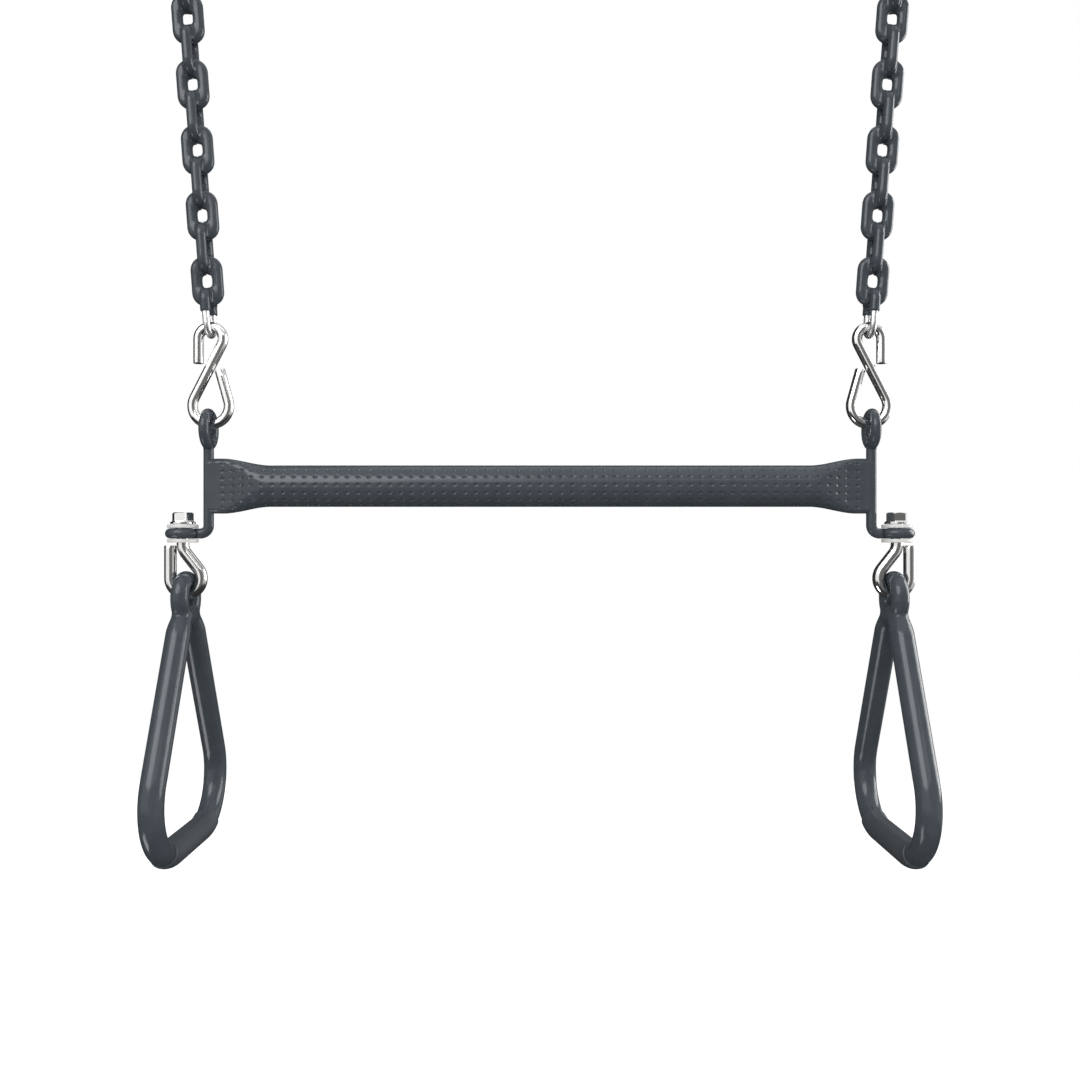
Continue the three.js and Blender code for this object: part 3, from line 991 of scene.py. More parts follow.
@dataclass(frozen=True)
class HangerRod:
    """One coated rod with an upright eye above and a level eye below."""

    layout: Layout
    diameter: float = 7.8
    upper_eye_inside: float = 16.4
    upper_neck_radius: float = 4.5
    upper_open_angle: float = 17.0
    lower_bend_radius: float = 6.2
    lower_eye_radius: float = 9.2
    lower_neck_radius: float = 5.3
    lower_open_angle: float = 21.0
    seat_gap: float = 0.3
    hook_wire: float = 7.8
    end_round: float = 1.6
    sides: int = 28

    @staticmethod
    def _eye_offset(eye_radius: float, neck_radius: float) -> float:
        """Gives the distance from an eye's centre to where its neck leaves the straight rod."""
        return math.sqrt(eye_radius**2 + 2 * eye_radius * neck_radius)

    def _neck_turn(self, eye_radius: float, neck_radius: float) -> float:
        """Gives the angle that a neck turns through before its eye starts."""
        offset = self._eye_offset(eye_radius, neck_radius)
        return math.degrees(math.asin(offset / (eye_radius + neck_radius)))

    def build(self) -> Shape:
        """Makes the rod.

        Returns:
            The piece on the side of +X.
        """
        place = self.layout
        eye_radius = (self.upper_eye_inside + self.diameter) / 2
        top_wire = place.lower_hook.z + self.seat_gap + (self.hook_wire + self.diameter) / 2
        eye_z = top_wire - eye_radius
        opening = math.radians(self.upper_open_angle)
        back, up = math.sin(opening), math.cos(opening)
        start = Vector((place.rod_x, eye_radius * back, eye_z - eye_radius * up))
        heading = Vector((0.0, up, back))
        upper_neck = self._neck_turn(eye_radius, self.upper_neck_radius)
        lower_neck = self._neck_turn(self.lower_eye_radius, self.lower_neck_radius)
        shank_top = eye_z - self._eye_offset(eye_radius, self.upper_neck_radius)
        shank_foot = place.lower_eye_z + self.lower_bend_radius
        rod = BentWire(start, heading, X, self.diameter)
        rod.bend(eye_radius, 270 - self.upper_open_angle + upper_neck)
        rod.bend(self.upper_neck_radius, -upper_neck, step=10.0)
        rod.straight(shank_top - shank_foot, count=12)
        rod.bend_about(Y).bend(self.lower_bend_radius, -90)
        rod.bend_about(Z).bend(self.lower_neck_radius, lower_neck, step=10.0)
        rod.bend(self.lower_eye_radius, self.lower_open_angle - 270 - lower_neck)
        return rod.round_ends(self.end_round).shape(self.sides)

    def dress(self, finishes: Finishes) -> None:
        """Publishes both rods."""
        rod, bodies = self.build(), {side: "bar" for side in Side}
        publish_pair("bent_hanger_rod", rod, [finishes.coat], bodies, "hanger_rod")


# Hooks and chain


@dataclass(frozen=True)
class SHook:
    """Bent bright wire with a small loop above and a large one below."""

    layout: Layout
    wire: float = 7.74
    length: float = 82.34
    upper_inside: float = 11.0
    lower_inside: float = 20.2
    upper_end: float = 18.7
    lower_end: float = 24.9
    lower_end_lean: float = 15.5
    edge: float = 0.35
    sides: int = 28

    def build(self) -> Shape:
        """Makes the hook with its lower bearing point at the origin.

        Returns:
            The hook.
        """
        upper = (self.upper_inside + self.wire) / 2
        lower = (self.lower_inside + self.wire) / 2
        reach = self.length - self.wire
        spacing = reach - upper - lower
        lean = math.degrees(math.asin((upper + lower) / spacing))
        start = Vector((upper, 0.0, reach - upper - self.upper_end))
        hook = BentWire(start, Z, Y, self.wire)
        hook.straight(self.upper_end, count=4)
        hook.bend(upper, -(180 + lean))
        hook.straight(math.sqrt(spacing**2 - (upper + lower) ** 2), count=8)
        hook.bend(lower, 180 + lean + self.lower_end_lean)
        hook.straight(self.lower_end, count=4)
        return hook.round_ends(self.edge, steps=2).shape(self.sides)

    def dress(self, finishes: Finishes) -> None:
        """Publishes both hooks of both chains.

        Args:
            finishes: The object's finishes.
        """
        shape = self.build()
        for which, place, body in (
            ("lower", self.layout.lower_hook, "s_hook_pair"),
            ("upper", self.layout.upper_hook, "beam_hooks"),
        ):
            hook = shape.moved(Matrix.Translation(place))
            bodies = {side: body for side in Side}
            finish, node = [finishes.bright_wire], f"{which}_s_hook"
            publish_pair(f"{which}_wire_hook", hook, finish, bodies, node)


@dataclass(frozen=True)
class CoatedChain:
    """Welded steel links dipped in vinyl together, so that the coat pools where two links cross.

    A single link is described round the origin: it stands in the XZ plane, and both of its
    neighbours in the YZ plane. Links that face the viewer carry the coat that hugs their
    neighbours' bends, and links seen edge on carry what is left inside their own holes. The real
    coat is one skin there, so each pool runs a little way into the neighbour's coat.
    """

    layout: Layout
    count: int
    steel: float = 5.4
    coat: float = 1.2
    inside_length: float = 25.5
    inside_width: float = 8.7
    inner_swell: float = 0.55
    apex_wear: float = 1.5
    pool: float = 5.2
    pool_margin: float = 0.7
    pool_root: float = 0.45
    least_pool: float = 0.01
    swing: float = 15.0
    facing_turn: float = 103.0
    edge_turn: float = 58.0
    turn_fade: float = 12.0
    coat_edge: float = 0.9
    net_step: float = 0.55
    sides: int = 32
    end_crease: float = 50.0

    @property
    def coated(self) -> float:
        """The coated wire's diameter."""
        return self.steel + 2 * self.coat

    @property
    def _half_width(self) -> float:
        """Distance of a leg's centre from the link's middle."""
        return (self.inside_width + self.coated) / 2

    @property
    def _half_leg(self) -> float:
        """Height of a lobe's centre over the link's middle."""
        return (self.inside_length + self.coated) / 2 - self._half_width

    @property
    def _apex(self) -> float:
        """Height of the wire's centre at the middle of a lobe."""
        return self._half_leg + self._half_width

    @property
    def _pitch(self) -> float:
        """Distance between two links' middles."""
        return (self.layout.links[0] - self.layout.links[1]).length

    def _skin(self, x: np.ndarray, y: np.ndarray, z: np.ndarray) -> np.ndarray:
        """Gives how far points lie outside a link that is dipped alone.

        Args:
            x: Places across the link.
            y: Places through the link.
            z: Heights over the link's middle.

        Returns:
            The distances, negative inside.
        """
        over = np.maximum(np.abs(z) - self._half_leg, 0.0)
        reach = np.maximum(np.hypot(x, over), HAIR)
        off = np.maximum(np.hypot(reach - self._half_width, y), HAIR)
        outward = (reach - self._half_width) / off
        apex = (over / reach) ** 2
        wear = self.apex_wear * (apex * np.maximum(outward, 0.0)) ** 2
        swell = self.inner_swell * (1 - apex) * np.minimum(outward, 0.0) ** 2
        return off - self.coated / 2 + wear - swell

    def _beside(
        self, x: np.ndarray, y: np.ndarray, z: np.ndarray, facing: bool, swing: float
    ) -> np.ndarray:
        """Gives how far points lie outside the neighbour above, swung by some degrees.

        Args:
            x: Places across the link.
            y: Places through the link.
            z: Heights over the link's middle.
            facing: Whether the link faces the viewer.
            swing: How far the neighbour has swung.

        Returns:
            The distances, negative inside.
        """
        hinge = self._apex if facing else self._pitch - self._apex
        across = y if facing else x
        turn = math.radians(swing)
        rise = z - hinge
        swung = across * math.cos(turn) - rise * math.sin(turn)
        height = hinge + across * math.sin(turn) + rise * math.cos(turn) - self._pitch
        if facing:
            return self._skin(swung, x, height)
        return self._skin(y, swung, height)

    def _pooled(self, points: np.ndarray, facing: bool) -> np.ndarray:
        """Gives how far points lie outside the link's coat with its share of the pooled coat.

        Args:
            points: Points in the link's own frame.
            facing: Whether the link faces the viewer.

        Returns:
            The distances, negative inside.
        """
        x, y, z = points[..., 0], points[..., 1], np.abs(points[..., 2])
        own = self._skin(x, y, z)
        near = self._beside(x, y, z, facing, 0.0)
        across, hinge, start = x, self._pitch - self._apex, self.edge_turn
        if facing:
            across, hinge, start = y, self._apex, self.facing_turn
        turn = np.degrees(np.arctan2(np.abs(across), hinge - z))
        fade = smooth_step((turn - start) / self.turn_fade)
        pool = np.maximum(self.pool * (1 - fade), self.least_pool)
        joined = smooth_min(own, near, pool)
        swept = [self._beside(x, y, z, facing, swing) for swing in (-self.swing, 0.0, self.swing)]
        web = np.maximum(joined, -self.pool_root - np.minimum.reduce(swept))
        web = np.maximum(web, own - pool + self.pool_margin)
        return np.minimum(own, web)

    def _half_dipped(self, points: np.ndarray) -> np.ndarray:
        """Gives how far points lie outside the coat of an end link, which covers its upper half."""
        return smooth_max(self._pooled(points, False), -points[..., 2], self.coat_edge)

    def _net(self, field_at: Callable[[np.ndarray], np.ndarray]) -> Shape:
        """Nets the coat of one link.

        Args:
            field_at: Gives the distance outside the coat of an array of points.

        Returns:
            The coat's skin.
        """
        reach = self.coated / 2 + 2 * self.net_step
        corner = Vector((self._half_width, self.pool, self._apex)) + Vector((reach, reach, reach))
        return net_round(field_at, -corner, corner, self.net_step)

    def build_coated(self, facing: bool) -> Shape:
        """Makes a link that is coated all round."""
        return self._net(lambda points: self._pooled(points, facing))

    def build_end(self) -> Shape:
        """Makes a link seen edge on whose lower half is bare steel.

        Returns:
            The link, with finish 1 on the steel.
        """
        shape = self._net(self._half_dipped)
        sunk = self.coated / 2
        start = X * self._half_width + Z * sunk
        leg = sunk + self._half_leg
        wire = BentWire(start, -Z, Y, self.steel).straight(leg, count=8)
        steel = wire.bend(self._half_width, 180).straight(leg, count=8).shape(self.sides)
        steel.finishes = [1] * len(steel.faces)
        shape.add(steel)
        return shape

    def dress(self, finishes: Finishes) -> None:
        """Publishes both chains, link by link, each second link turned edge on.

        Args:
            finishes: The object's finishes.
        """
        coat, both = [finishes.coat], [finishes.coat, finishes.bare_link]
        face_on = self.build_coated(True).to_mesh("facing_link", coat, SMOOTH)
        edge_on = self.build_coated(False).to_mesh("edge_on_link", coat, SMOOTH)
        end = self.build_end().to_mesh("end_link", both, self.end_crease)
        for side, (index, centre) in itertools.product(Side, enumerate(self.layout.links, start=1)):
            mesh = face_on if index % 2 == 0 else edge_on
            piece = publish(
                f"{side.label}_dipped_link_{index}",
                end if index in (1, self.count) else mesh,
                f"chain_row_{index}",
                f"{side.label}_chain_link_{index}",
            )
            matrix = Matrix.Translation(Vector((centre.x * side.value, centre.y, centre.z)) * MM)
            matrix @= Matrix.Rotation(self.layout.lean * side.value, 4, Y)
            if index % 2 == 1:
                matrix @= Matrix.Rotation(math.radians(90), 4, Z)
            if index == 1:
                matrix @= Matrix.Rotation(math.radians(180), 4, X)
            piece.matrix_world = matrix


# The swivel under each rod


@dataclass(frozen=True)
class Swivel:
    """Forged hook that turns in the rod's lower eye, held by a flange nut over two washers."""

    layout: Layout
    wire: float = 9.2
    rod: float = 7.8
    seat_gap: float = 0.3
    washer_diameter: float = 23.0
    washer_thickness: float = 2.7
    washer_edge: float = 0.45
    across_flats: float = 14.3
    hex_height: float = 7.0
    flange_diameter: float = 18.8
    flange_height: float = 1.9
    flange_edge: float = 0.3
    flange_rise: float = 0.35
    hex_fillet: float = 0.25
    bore_edge: float = 0.5
    chamfer_start: float = 0.93
    chamfer_slope: float = 30.0
    shank_sink: float = 0.5
    loop_inside: float = 14.6
    loop_drop: float = 27.5
    diagonal_angle: float = 38.0
    neck_radius: float = 12.0
    tip_clear: float = 2.3
    edge: float = 0.4
    sides: int = 32
    washer_sides: int = 64
    nut_sides: int = 96
    nut_crease: float = 22.0

    @property
    def _seat(self) -> float:
        """Height of a washer's face over the middle of the rod's lower eye."""
        return self.rod / 2 + self.seat_gap

    @property
    def _nut_foot(self) -> float:
        """Height of the nut's lower face."""
        return self.layout.lower_eye_z + self._seat + self.washer_thickness + self.seat_gap

    @property
    def _nut_top(self) -> float:
        """Height of the nut's upper face."""
        return self._nut_foot + self.flange_height + self.hex_height

    def build_hook(self) -> Shape:
        """Makes the hook.

        Returns:
            The piece on the side of +X.
        """
        place = self.layout
        washer_foot = place.lower_eye_z - self._seat - self.washer_thickness
        loop_radius = (self.loop_inside + self.wire) / 2
        loop_z = washer_foot - self.loop_drop
        tilt = math.radians(self.diagonal_angle)
        inset = place.swivel_x - place.ring_x
        diagonal = (inset + loop_radius * math.cos(tilt)) / math.sin(tilt)
        corner = loop_z + loop_radius * math.sin(tilt) + diagonal * math.cos(tilt)
        tangent = self.neck_radius * math.tan(tilt / 2)
        top = self._nut_top - self.shank_sink
        hook = BentWire(Vector((place.swivel_x, 0.0, top)), -Z, Y, self.wire)
        hook.straight(top - corner - tangent, count=6)
        hook.bend(self.neck_radius, self.diagonal_angle, step=4.0)
        hook.straight(diagonal - tangent, count=3)
        hook.bend(loop_radius, -(180 + self.diagonal_angle), step=5.0)
        hook.straight(washer_foot - self.tip_clear - loop_z, count=5)
        return hook.round_ends(self.edge, steps=2).shape(self.sides)

    def build_washer(self, foot: float) -> Shape:
        """Makes a washer.

        Args:
            foot: The height of its lower face.

        Returns:
            The washer on the side of +X.
        """
        inner = self.wire / 2 + self.seat_gap
        top = foot + self.washer_thickness
        profile = washer_profile(inner, self.washer_diameter / 2, foot, top, self.washer_edge)
        washer = turned(profile, self.washer_sides)
        return washer.moved(Matrix.Translation(X * self.layout.swivel_x))

    def _hex_radius(self, angle: float) -> float:
        """Gives the hexagon's radius in a direction, counted from one of its corners."""
        sixth = math.pi / 3
        return self.across_flats / 2 / math.cos(angle % sixth - sixth / 2)

    def _nut_profile(self, angle: float) -> Profile:
        """Gives the nut's section in a direction.

        Args:
            angle: The direction in radians.

        Returns:
            Radius and height of each point.
        """
        corner = self._hex_radius(angle)
        crown = self.across_flats / 2 * self.chamfer_start
        bore, flange = self.wire / 2 + self.seat_gap, self.flange_diameter / 2
        edge, rise = self.flange_edge, self.flange_height + self.flange_rise
        height = self.flange_height + self.hex_height
        shoulder = height - max(corner - crown, 0.0) * math.tan(math.radians(self.chamfer_slope))
        return [
            (flange - edge, 0.0),
            (flange, edge),
            (flange, self.flange_height - 2 * edge),
            (flange - edge, self.flange_height - edge),
            (corner + self.hex_fillet, rise),
            (corner, rise + edge),
            (corner, shoulder),
            (lerp(corner, crown, 0.5), lerp(shoulder, height, 0.5)),
            (crown, height),
            (bore + self.bore_edge, height),
            (bore, height - self.bore_edge),
            (bore, 0.0),
        ]

    def build_nut(self) -> Shape:
        """Makes the nut: a round flange, a hexagon with its upper corners turned off, and a bore.

        Returns:
            The nut on the side of +X.
        """
        columns = []
        for k in range(self.nut_sides):
            angle = math.tau * k / self.nut_sides
            across = Vector((math.cos(angle), math.sin(angle), 0.0))
            columns.append([across * radius + Z * z for radius, z in self._nut_profile(angle)])
        rings = [list(ring) for ring in zip(*columns)]
        place = X * self.layout.swivel_x + Z * self._nut_foot
        return Shape.lofted(rings, closed=True).moved(Matrix.Translation(place))

    def dress(self, finishes: Finishes) -> None:
        """Publishes the hook, the nut and both washers of both sides.

        Args:
            finishes: The object's finishes.
        """
        bodies = {side: f"{side.label}_swivel" for side in Side}
        hook, nut, steel = self.build_hook(), self.build_nut(), Slot.BRIGHT_STEEL
        crease = self.nut_crease
        publish_pair("forged_swivel_hook", hook, [finishes.swivel], bodies, "swivel_hook")
        publish_pair("hex_flange_nut", nut, [finishes.nut], bodies, "flange_nut", crease)
        upper_foot = self.layout.lower_eye_z + self._seat
        lower_foot = self.layout.lower_eye_z - self._seat - self.washer_thickness
        for which, foot in (("upper", upper_foot), ("lower", lower_foot)):
            name, node, washer = f"{which}_nylon_washer", f"{which}_washer", self.build_washer(foot)
            publish_pair(name, washer, [finishes.nylon], bodies, node)


# The ring handles


@dataclass(frozen=True)
class RingHandle:
    """Coated triangle of bent rod under a thinner eye, with a moulded grip on its foot."""

    layout: Layout
    swivel_wire: float = 9.2
    seat_gap: float = 0.3
    diameter: float = 18.0
    core: float = 16.0
    height: float = 173.3
    foot_half: float = 32.4
    corner_radius: float = 40.3
    apex_radius: float = 17.0
    eye_diameter: float = 12.6
    eye_inside: float = 16.2
    eye_rise: float = 12.3
    grip_diameter: float = 20.2
    grip_cover: float = 24.0
    grip_flat_depth: float = 0.8
    grip_end_round: float = 1.0
    front_groove_turn: float = 2.1
    rear_groove_turn: float = 0.0
    groove_core: float = 14.8
    coat_end_round: float = 0.4
    eye_swell: float = 0.4
    apex_thinning: float = 1.5
    thinning_start: float = 4.0
    thinning_reach: float = 12.0
    neck_pool: float = 2.2
    net_step: float = 0.75
    sides: int = 40
    grip_sides: int = 64
    grip_end_steps: int = 8
    grip_crease: float = 16.0

    @property
    def _eye_z(self) -> float:
        """Height of the eye's centre."""
        return self.layout.swivel_foot + self.swivel_wire / 2 + self.seat_gap - self.eye_inside / 2

    @property
    def _foot_z(self) -> float:
        """Height of the foot's centre line."""
        return self._eye_z - self.eye_rise - self.height

    @property
    def _lean(self) -> float:
        """The angle in radians by which the legs lean out from the upright.

        Returns:
            The angle.
        """
        rise = self.height - self.corner_radius - self.apex_radius
        slope = math.asin((self.corner_radius - self.apex_radius) / math.hypot(self.foot_half, rise))
        return math.atan(self.foot_half / rise) + slope

    def _off_line(self, across: np.ndarray, low_z: np.ndarray) -> np.ndarray:
        """Gives how far points lie outside the triangle's centre line in its own plane.

        Args:
            across: Distances from the triangle's middle.
            low_z: Heights over the centres of the lower corners.

        Returns:
            The distances, negative inside the triangle.
        """
        sine, cosine = math.sin(self._lean), math.cos(self._lean)
        beyond = across - self.foot_half
        top_z = low_z - self.height + self.corner_radius + self.apex_radius
        leg = beyond * cosine + low_z * sine - self.corner_radius
        straight = np.maximum(leg, -self.corner_radius - low_z)
        corner = np.hypot(beyond, low_z) - self.corner_radius
        apex = np.hypot(across, top_z) - self.apex_radius
        off = np.where((beyond > 0) & (low_z * cosine < beyond * sine), corner, straight)
        return np.where(top_z * cosine > across * sine, apex, off)

    def _skin(self, points: np.ndarray) -> np.ndarray:
        """Gives how far points lie outside the coat, which flows into the neck below the eye.

        Args:
            points: Points round X = 0, at their own heights.

        Returns:
            The distances, negative inside.
        """
        x, across = points[..., 0], np.abs(points[..., 1])
        low_z = points[..., 2] - self._foot_z - self.corner_radius
        beyond = across - self.foot_half
        turn = np.where(low_z < 0, np.arctan2(beyond, -low_z), math.pi)
        groove = np.where(points[..., 1] < 0, self.front_groove_turn, self.rear_groove_turn)
        end = np.radians(self.grip_cover + groove)
        top_z = low_z - self.height + self.corner_radius + self.apex_radius
        thin = smooth_step((top_z - self.thinning_start) / self.thinning_reach)
        radius = self.diameter / 2 - self.apex_thinning * thin
        round_wire = np.hypot(self._off_line(across, low_z), x) - radius
        cut = (end - turn) * self.corner_radius
        triangle = smooth_max(round_wire, cut, self.coat_end_round)
        eye_radius = (self.eye_inside + self.eye_diameter) / 2
        outward = np.hypot(across, points[..., 2] - self._eye_z) - eye_radius
        flat = self.eye_diameter / (self.eye_diameter + 2 * self.eye_swell)
        eye = np.hypot(x * flat, outward) - self.eye_diameter / 2
        return smooth_min(triangle, eye, self.neck_pool)

    def build_ring(self) -> Shape:
        """Makes the ring round X = 0.

        Returns:
            Its coat, and the core that shows in the groove by the grip.
        """
        reach = self.diameter / 2 + 2 * self.net_step
        half = self.foot_half + self.corner_radius + reach
        low = Vector((-reach, -half, self._foot_z - reach))
        high = Vector((reach, half, self._eye_z + self.eye_inside / 2 + self.eye_diameter + reach / 2))
        shape = net_round(self._skin, low, high, self.net_step)
        core = self._foot_wire(self.groove_core, beyond=2 * self.front_groove_turn).shape(self.sides)
        shape.add(core.moved(Matrix.Translation(X * -self.layout.ring_x)))
        return shape

    def _foot_wire(self, diameter: float, beyond: float = 0.0) -> BentWire:
        """Follows the ring's foot as far as the grip covers it.

        Args:
            diameter: The wire's diameter.
            beyond: How many degrees of the corners it follows beyond the grip.

        Returns:
            The wire.
        """
        cover = self.grip_cover + beyond
        turn = math.radians(cover)
        side = self.foot_half + self.corner_radius * math.sin(turn)
        rise = self.corner_radius * (1 - math.cos(turn))
        start = Vector((self.layout.ring_x, -side, self._foot_z + rise))
        heading = Vector((0.0, math.cos(turn), -math.sin(turn)))
        wire = BentWire(start, heading, X, diameter)
        wire.bend(self.corner_radius, cover, step=2.0).straight(2 * self.foot_half, count=30)
        return wire.bend(self.corner_radius, cover, step=2.0)

    def _grip(self) -> Shape:
        """Makes the sleeve: round, with a thumb flat on its inner side and rounded ends.

        Returns:
            The sleeve on the side of +X.
        """
        outer = self._foot_wire(self.grip_diameter).round_ends(self.grip_end_round, self.grip_end_steps)
        flat = self.grip_diameter / 2 - self.grip_flat_depth
        skin = []
        for station in outer.stations:
            level = min(flat, station.radius)
            ring = []
            for point in station.ring(self.grip_sides):
                over = (point - station.at).dot(station.side) - level
                ring.append(point - station.side * max(over, 0.0))
            skin.append(ring)
        inner = self._foot_wire(self.core + 2 * self.seat_gap)
        bore = [station.ring(self.grip_sides) for station in reversed(inner.stations)]
        return Shape.lofted(skin + bore, closed=True)

    def dress(self, finishes: Finishes) -> None:
        """Publishes both rings and both grips.

        Args:
            finishes: The object's finishes.
        """
        bodies = {side: f"{side.label}_ring" for side in Side}
        ring = self.build_ring().to_mesh("dipped_ring", [finishes.coat], SMOOTH)
        for side in Side:
            node = f"{side.label}_ring_handle"
            piece = publish(f"{side.label}_dipped_ring", ring, bodies[side], node)
            piece.matrix_world = Matrix.Translation(X * (side.value * self.layout.ring_x * MM))
        grip, finish, crease = self._grip(), [finishes.grip], self.grip_crease
        publish_pair("moulded_grip", grip, finish, bodies, "ring_grip", crease)


# The studio


def facing(place: Vector, aim: Vector) -> Matrix:
    """Gives the matrix that puts something at a place, with its Z axis away from what it faces."""
    return Matrix.Translation(place) @ (place - aim).to_track_quat("Z", "Y").to_matrix().to_4x4()


class LampUse(Enum):
    """What a lamp is for."""

    GLINTS = "seen in glossy surfaces alone"
    LIGHT = "lights dull surfaces alone"


@dataclass(frozen=True)
class Softbox:
    """A flat lamp at a place that is counted from the bar's middle, in millimetres."""

    name: str
    place: tuple[float, float, float]
    aim: tuple[float, float, float]
    width: float
    height: float
    brightness: float
    use: LampUse

    def build(self, middle: Vector) -> None:
        """Adds the lamp.

        Args:
            middle: The bar's middle, in metres.
        """
        lamp = bpy.data.lights.new(self.name, "AREA")
        lamp.shape = "RECTANGLE"
        lamp.size = self.width * MM
        lamp.size_y = self.height * MM
        lamp.energy = self.brightness * math.pi * lamp.size * lamp.size_y
        holder = add_object(self.name, lamp)
        holder.matrix_world = facing(middle + Vector(self.place) * MM, middle + Vector(self.aim) * MM)
        holder.visible_camera = False
        holder.visible_glossy = self.use is LampUse.GLINTS
        holder.visible_diffuse = self.use is LampUse.LIGHT


@dataclass(frozen=True)
class Card:
    """A toned card that only reflections see, as photographers put round bright metal.

    Its two azimuths are counted from the viewer's side towards +X, in degrees.
    """

    name: str
    start: float
    end: float
    tone: str
    distance: float = 3900.0
    height: float = 8000.0

    def build(self, middle: Vector) -> None:
        """Adds the card, upright and facing the object.

        Args:
            middle: The bar's middle, in metres.
        """
        turn = math.radians((self.start + self.end) / 2)
        half_width = self.distance * math.tan(math.radians(self.end - self.start) / 2)
        place = middle + Vector((math.sin(turn), -math.cos(turn), 0.0)) * self.distance * MM
        add_card(self.name, facing(place, middle), 2 * half_width, self.height, self.tone)


def add_card(name: str, matrix: Matrix, width: float, height: float, tone: str) -> None:
    """Adds a card of one tone that only reflections see.

    Args:
        name: The card's name.
        matrix: Its place, facing along its own Z axis.
        width: Its width in millimetres.
        height: Its height in millimetres.
        tone: Its tone as an sRGB hex colour.
    """
    material, tree = new_material(name)
    light = {"Color": linear(tone), "Strength": 1.0}
    glow = add_node(tree, "ShaderNodeEmission", inputs=light).outputs[0]
    add_node(tree, "ShaderNodeOutputMaterial", inputs={"Surface": glow})
    card = add_object(name, flat_mesh(name, width * MM, height * MM, material))
    card.matrix_world = matrix
    card.visible_camera = False
    card.visible_diffuse = False
    card.visible_shadow = False


def flat_mesh(name: str, width: float, height: float, material: bpy.types.Material) -> bpy.types.Mesh:
    """Makes a flat rectangle round the origin.

    Args:
        name: The mesh's name.
        width: Its width along X in metres.
        height: Its height along Y in metres.
        material: Its material.

    Returns:
        The mesh.
    """
    x, y = width / 2, height / 2
    mesh = bpy.data.meshes.new(name)
    mesh.from_pydata([(-x, -y, 0.0), (x, -y, 0.0), (x, y, 0.0), (-x, y, 0.0)], [], [(0, 1, 2, 3)])
    mesh.materials.append(material)
    return mesh


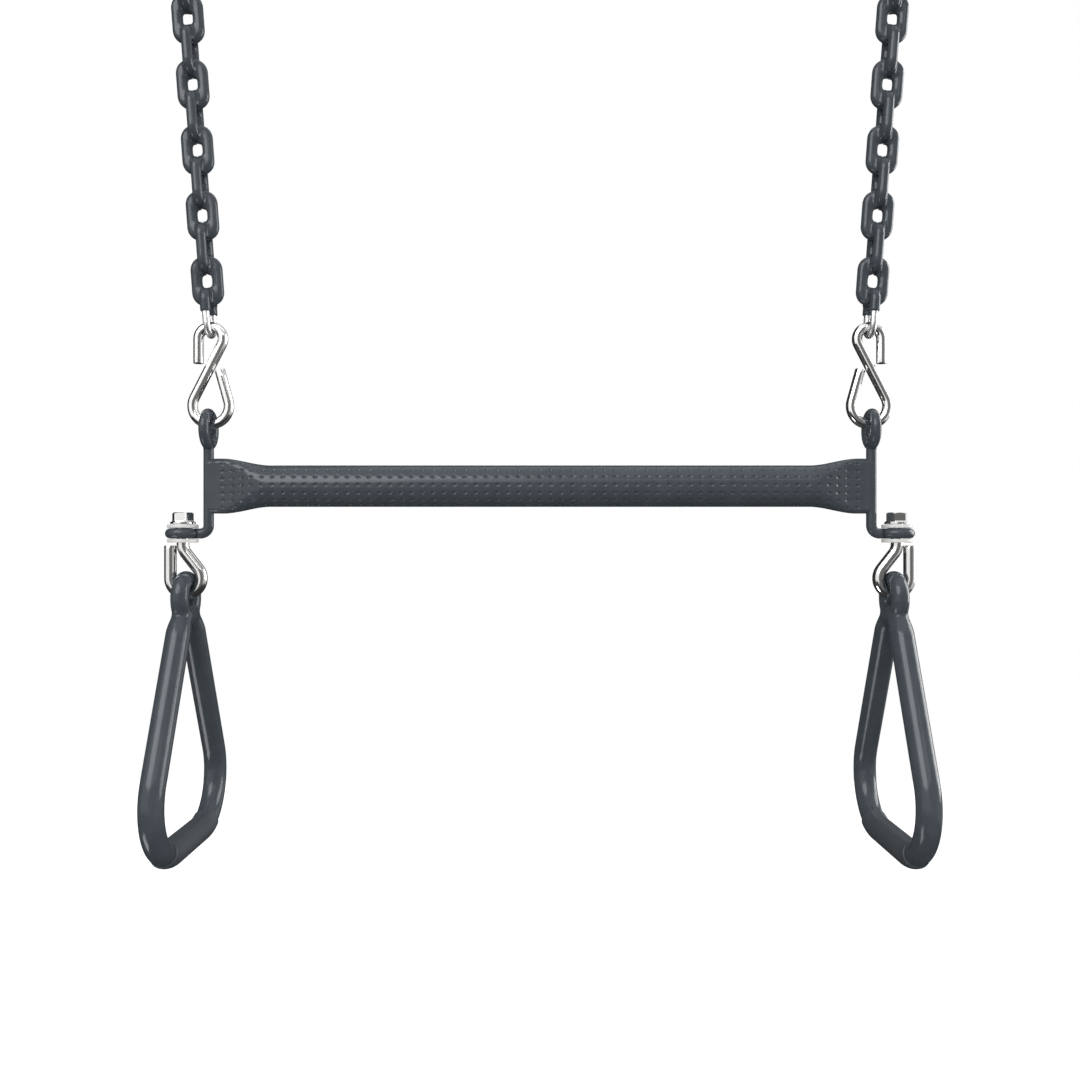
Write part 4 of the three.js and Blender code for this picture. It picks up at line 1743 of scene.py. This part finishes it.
@dataclass(frozen=True)
class Studio:
    """Pale floor, white surround, soft lamps and the photograph's camera."""

    layout: Layout
    lens_mm: float = 35.0
    sensor_mm: float = 36.0
    picture_px: int = 1080
    horizon_below_middle_px: float = 5.0
    camera_distance: float = 805.0
    camera_drop: float = 45.1
    clip_start: float = 10.0
    clip_end: float = 100000.0
    floor_drop: float = 1800.0
    floor_size: float = 14000.0
    floor_shade: str = "#a8a8a8"
    floor_glow: float = 0.85
    floor_dull: str = "#808080"
    low_card_drop: float = 1700.0
    low_card_size: float = 14000.0
    low_card_tone: str = "#313131"
    fill: float = 0.77
    fill_tilt: float = 0.5
    lamps: tuple[Softbox, ...] = (
        Softbox("key_softbox", (-834, -1303, 1103), (0, 0, 0), 1300, 1150, 6.4, LampUse.GLINTS),
        Softbox("key_spill", (-120, -1500, 1120), (0, 0, 0), 240, 1050, 3.4, LampUse.GLINTS),
        Softbox("front_strip", (560, -1500, 1000), (0, 0, 0), 1120, 220, 2.4, LampUse.GLINTS),
        Softbox("side_softbox", (1900, 330, 400), (0, 0, -150), 1000, 1500, 8.0, LampUse.GLINTS),
        Softbox("low_left_softbox", (-1200, -380, -1500), (0, 0, -170), 650, 800, 6.0, LampUse.GLINTS),
        Softbox("back_right_softbox", (1400, 1200, -600), (0, 0, -600), 900, 1200, 3.0, LampUse.LIGHT),
        Softbox("top_softbox", (0, 0, 1600), (0, 0, 0), 1800, 1200, 0.2, LampUse.LIGHT),
        Softbox("front_bounce", (0, -1800, -500), (0, 0, 0), 2200, 1000, 1.65, LampUse.LIGHT),
    )
    cards: tuple[Card, ...] = (
        Card("front_right_card", -8, 50, "#6b6b6a"),
        Card("right_pale_card", 50, 88, "#cfcfce"),
        Card("right_grey_card", 88, 130, "#b3b3b2"),
        Card("back_right_card", 150, 198, "#262626", height=9600.0),
        Card("back_left_card", 198, 285, "#262626", height=16000.0),
    )

    def _camera(self) -> None:
        """Sets the camera level in front of the bar, as the picture's perspective gives it."""
        lens = bpy.data.cameras.new("picture_camera")
        lens.lens = self.lens_mm
        lens.sensor_width = self.sensor_mm
        lens.shift_y = self.horizon_below_middle_px / self.picture_px
        lens.clip_start = self.clip_start * MM
        lens.clip_end = self.clip_end * MM
        camera = add_object("picture_camera", lens)
        height = self.layout.bar_z - self.camera_drop
        camera.location = Vector((0.0, -self.camera_distance, height)) * MM
        camera.rotation_euler = (math.radians(90), 0.0, 0.0)
        bpy.context.scene.camera = camera

    @staticmethod
    def _show(
        tree: bpy.types.NodeTree, hidden: bpy.types.NodeSocket, shown: bpy.types.NodeSocket
    ) -> bpy.types.NodeSocket:
        """Mixes what camera, glossy and transmission rays see with what all other rays get.

        Args:
            tree: The node tree.
            hidden: The shader for the other rays.
            shown: The shader for the rays that see.

        Returns:
            The mixed shader.
        """
        path = add_node(tree, "ShaderNodeLightPath").outputs
        seen = path["Is Camera Ray"]
        for name in ("Is Glossy Ray", "Is Transmission Ray"):
            either = {"0": seen, "1": path[name]}
            seen = add_node(tree, "ShaderNodeMath", {"operation": "MAXIMUM"}, either).outputs[0]
        mix = {"0": seen, "1": hidden, "2": shown}
        return add_node(tree, "ShaderNodeMixShader", inputs=mix).outputs[0]

    def _surround(self) -> None:
        """Sets a white surround that lights the object softly, more from above than from below."""
        world = bpy.data.worlds.new("white_surround")
        world.use_nodes = True
        tree = world.node_tree
        tree.nodes.clear()
        way = add_node(tree, "ShaderNodeTexCoord").outputs["Generated"]
        up = add_node(tree, "ShaderNodeSeparateXYZ", inputs={"0": way}).outputs["Z"]
        dim, bright = self.fill * (1 - self.fill_tilt), self.fill * (1 + self.fill_tilt)
        span = {"0": up, "1": -1.0, "2": 1.0, "3": dim, "4": bright}
        strength = add_node(tree, "ShaderNodeMapRange", inputs=span).outputs[0]
        soft, white = (
            add_node(
                tree, "ShaderNodeBackground", inputs={"Color": linear(WHITE), "Strength": light}
            ).outputs[0]
            for light in (strength, 1.0)
        )
        add_node(tree, "ShaderNodeOutputWorld", inputs={"Surface": self._show(tree, soft, white)})
        bpy.context.scene.world = world

    def _floor(self) -> None:
        """Lays the pale floor, white to the camera and dull to the light that it throws back up."""
        material, tree = new_material("pale_floor")
        pale, dull = (
            add_node(tree, "ShaderNodeBsdfDiffuse", inputs={"Color": linear(tone)}).outputs[0]
            for tone in (self.floor_shade, self.floor_dull)
        )
        light = {"Color": linear(WHITE), "Strength": self.floor_glow}
        glow = add_node(tree, "ShaderNodeEmission", inputs=light).outputs[0]
        shown = add_node(tree, "ShaderNodeAddShader", inputs={"0": pale, "1": glow}).outputs[0]
        add_node(tree, "ShaderNodeOutputMaterial", inputs={"Surface": self._show(tree, dull, shown)})
        size = self.floor_size * MM
        floor = add_object("pale_floor", flat_mesh("pale_floor", size, size, material))
        floor.location = Z * (self.layout.bar_z - self.floor_drop) * MM

    def build(self) -> None:
        """Sets up the camera, the surround, the floor, the lamps and the cards."""
        self._camera()
        self._surround()
        self._floor()
        middle = Z * self.layout.bar_z * MM
        for lamp in self.lamps:
            lamp.build(middle)
        for card in self.cards:
            card.build(middle)
        low = middle - Z * self.low_card_drop * MM
        size = self.low_card_size
        add_card("low_card", Matrix.Translation(low), size, size, self.low_card_tone)
        bpy.context.scene.view_settings.view_transform = "Standard"


def main() -> None:
    """Builds the studio and every sub-assembly in order."""
    logging.basicConfig(level=logging.INFO, format="%(message)s")
    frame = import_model()
    link_count = 11
    layout = Layout.read(frame, HangerRod.diameter / 2, link_count)
    Studio(layout).build()
    finishes = Finishes.make()
    BarTube(layout).dress(finishes)
    HangerRod(layout).dress(finishes)
    SHook(layout).dress(finishes)
    CoatedChain(layout, link_count).dress(finishes)
    Swivel(layout).dress(finishes)
    RingHandle(layout).dress(finishes)


if __name__ == "__main__":
    main()
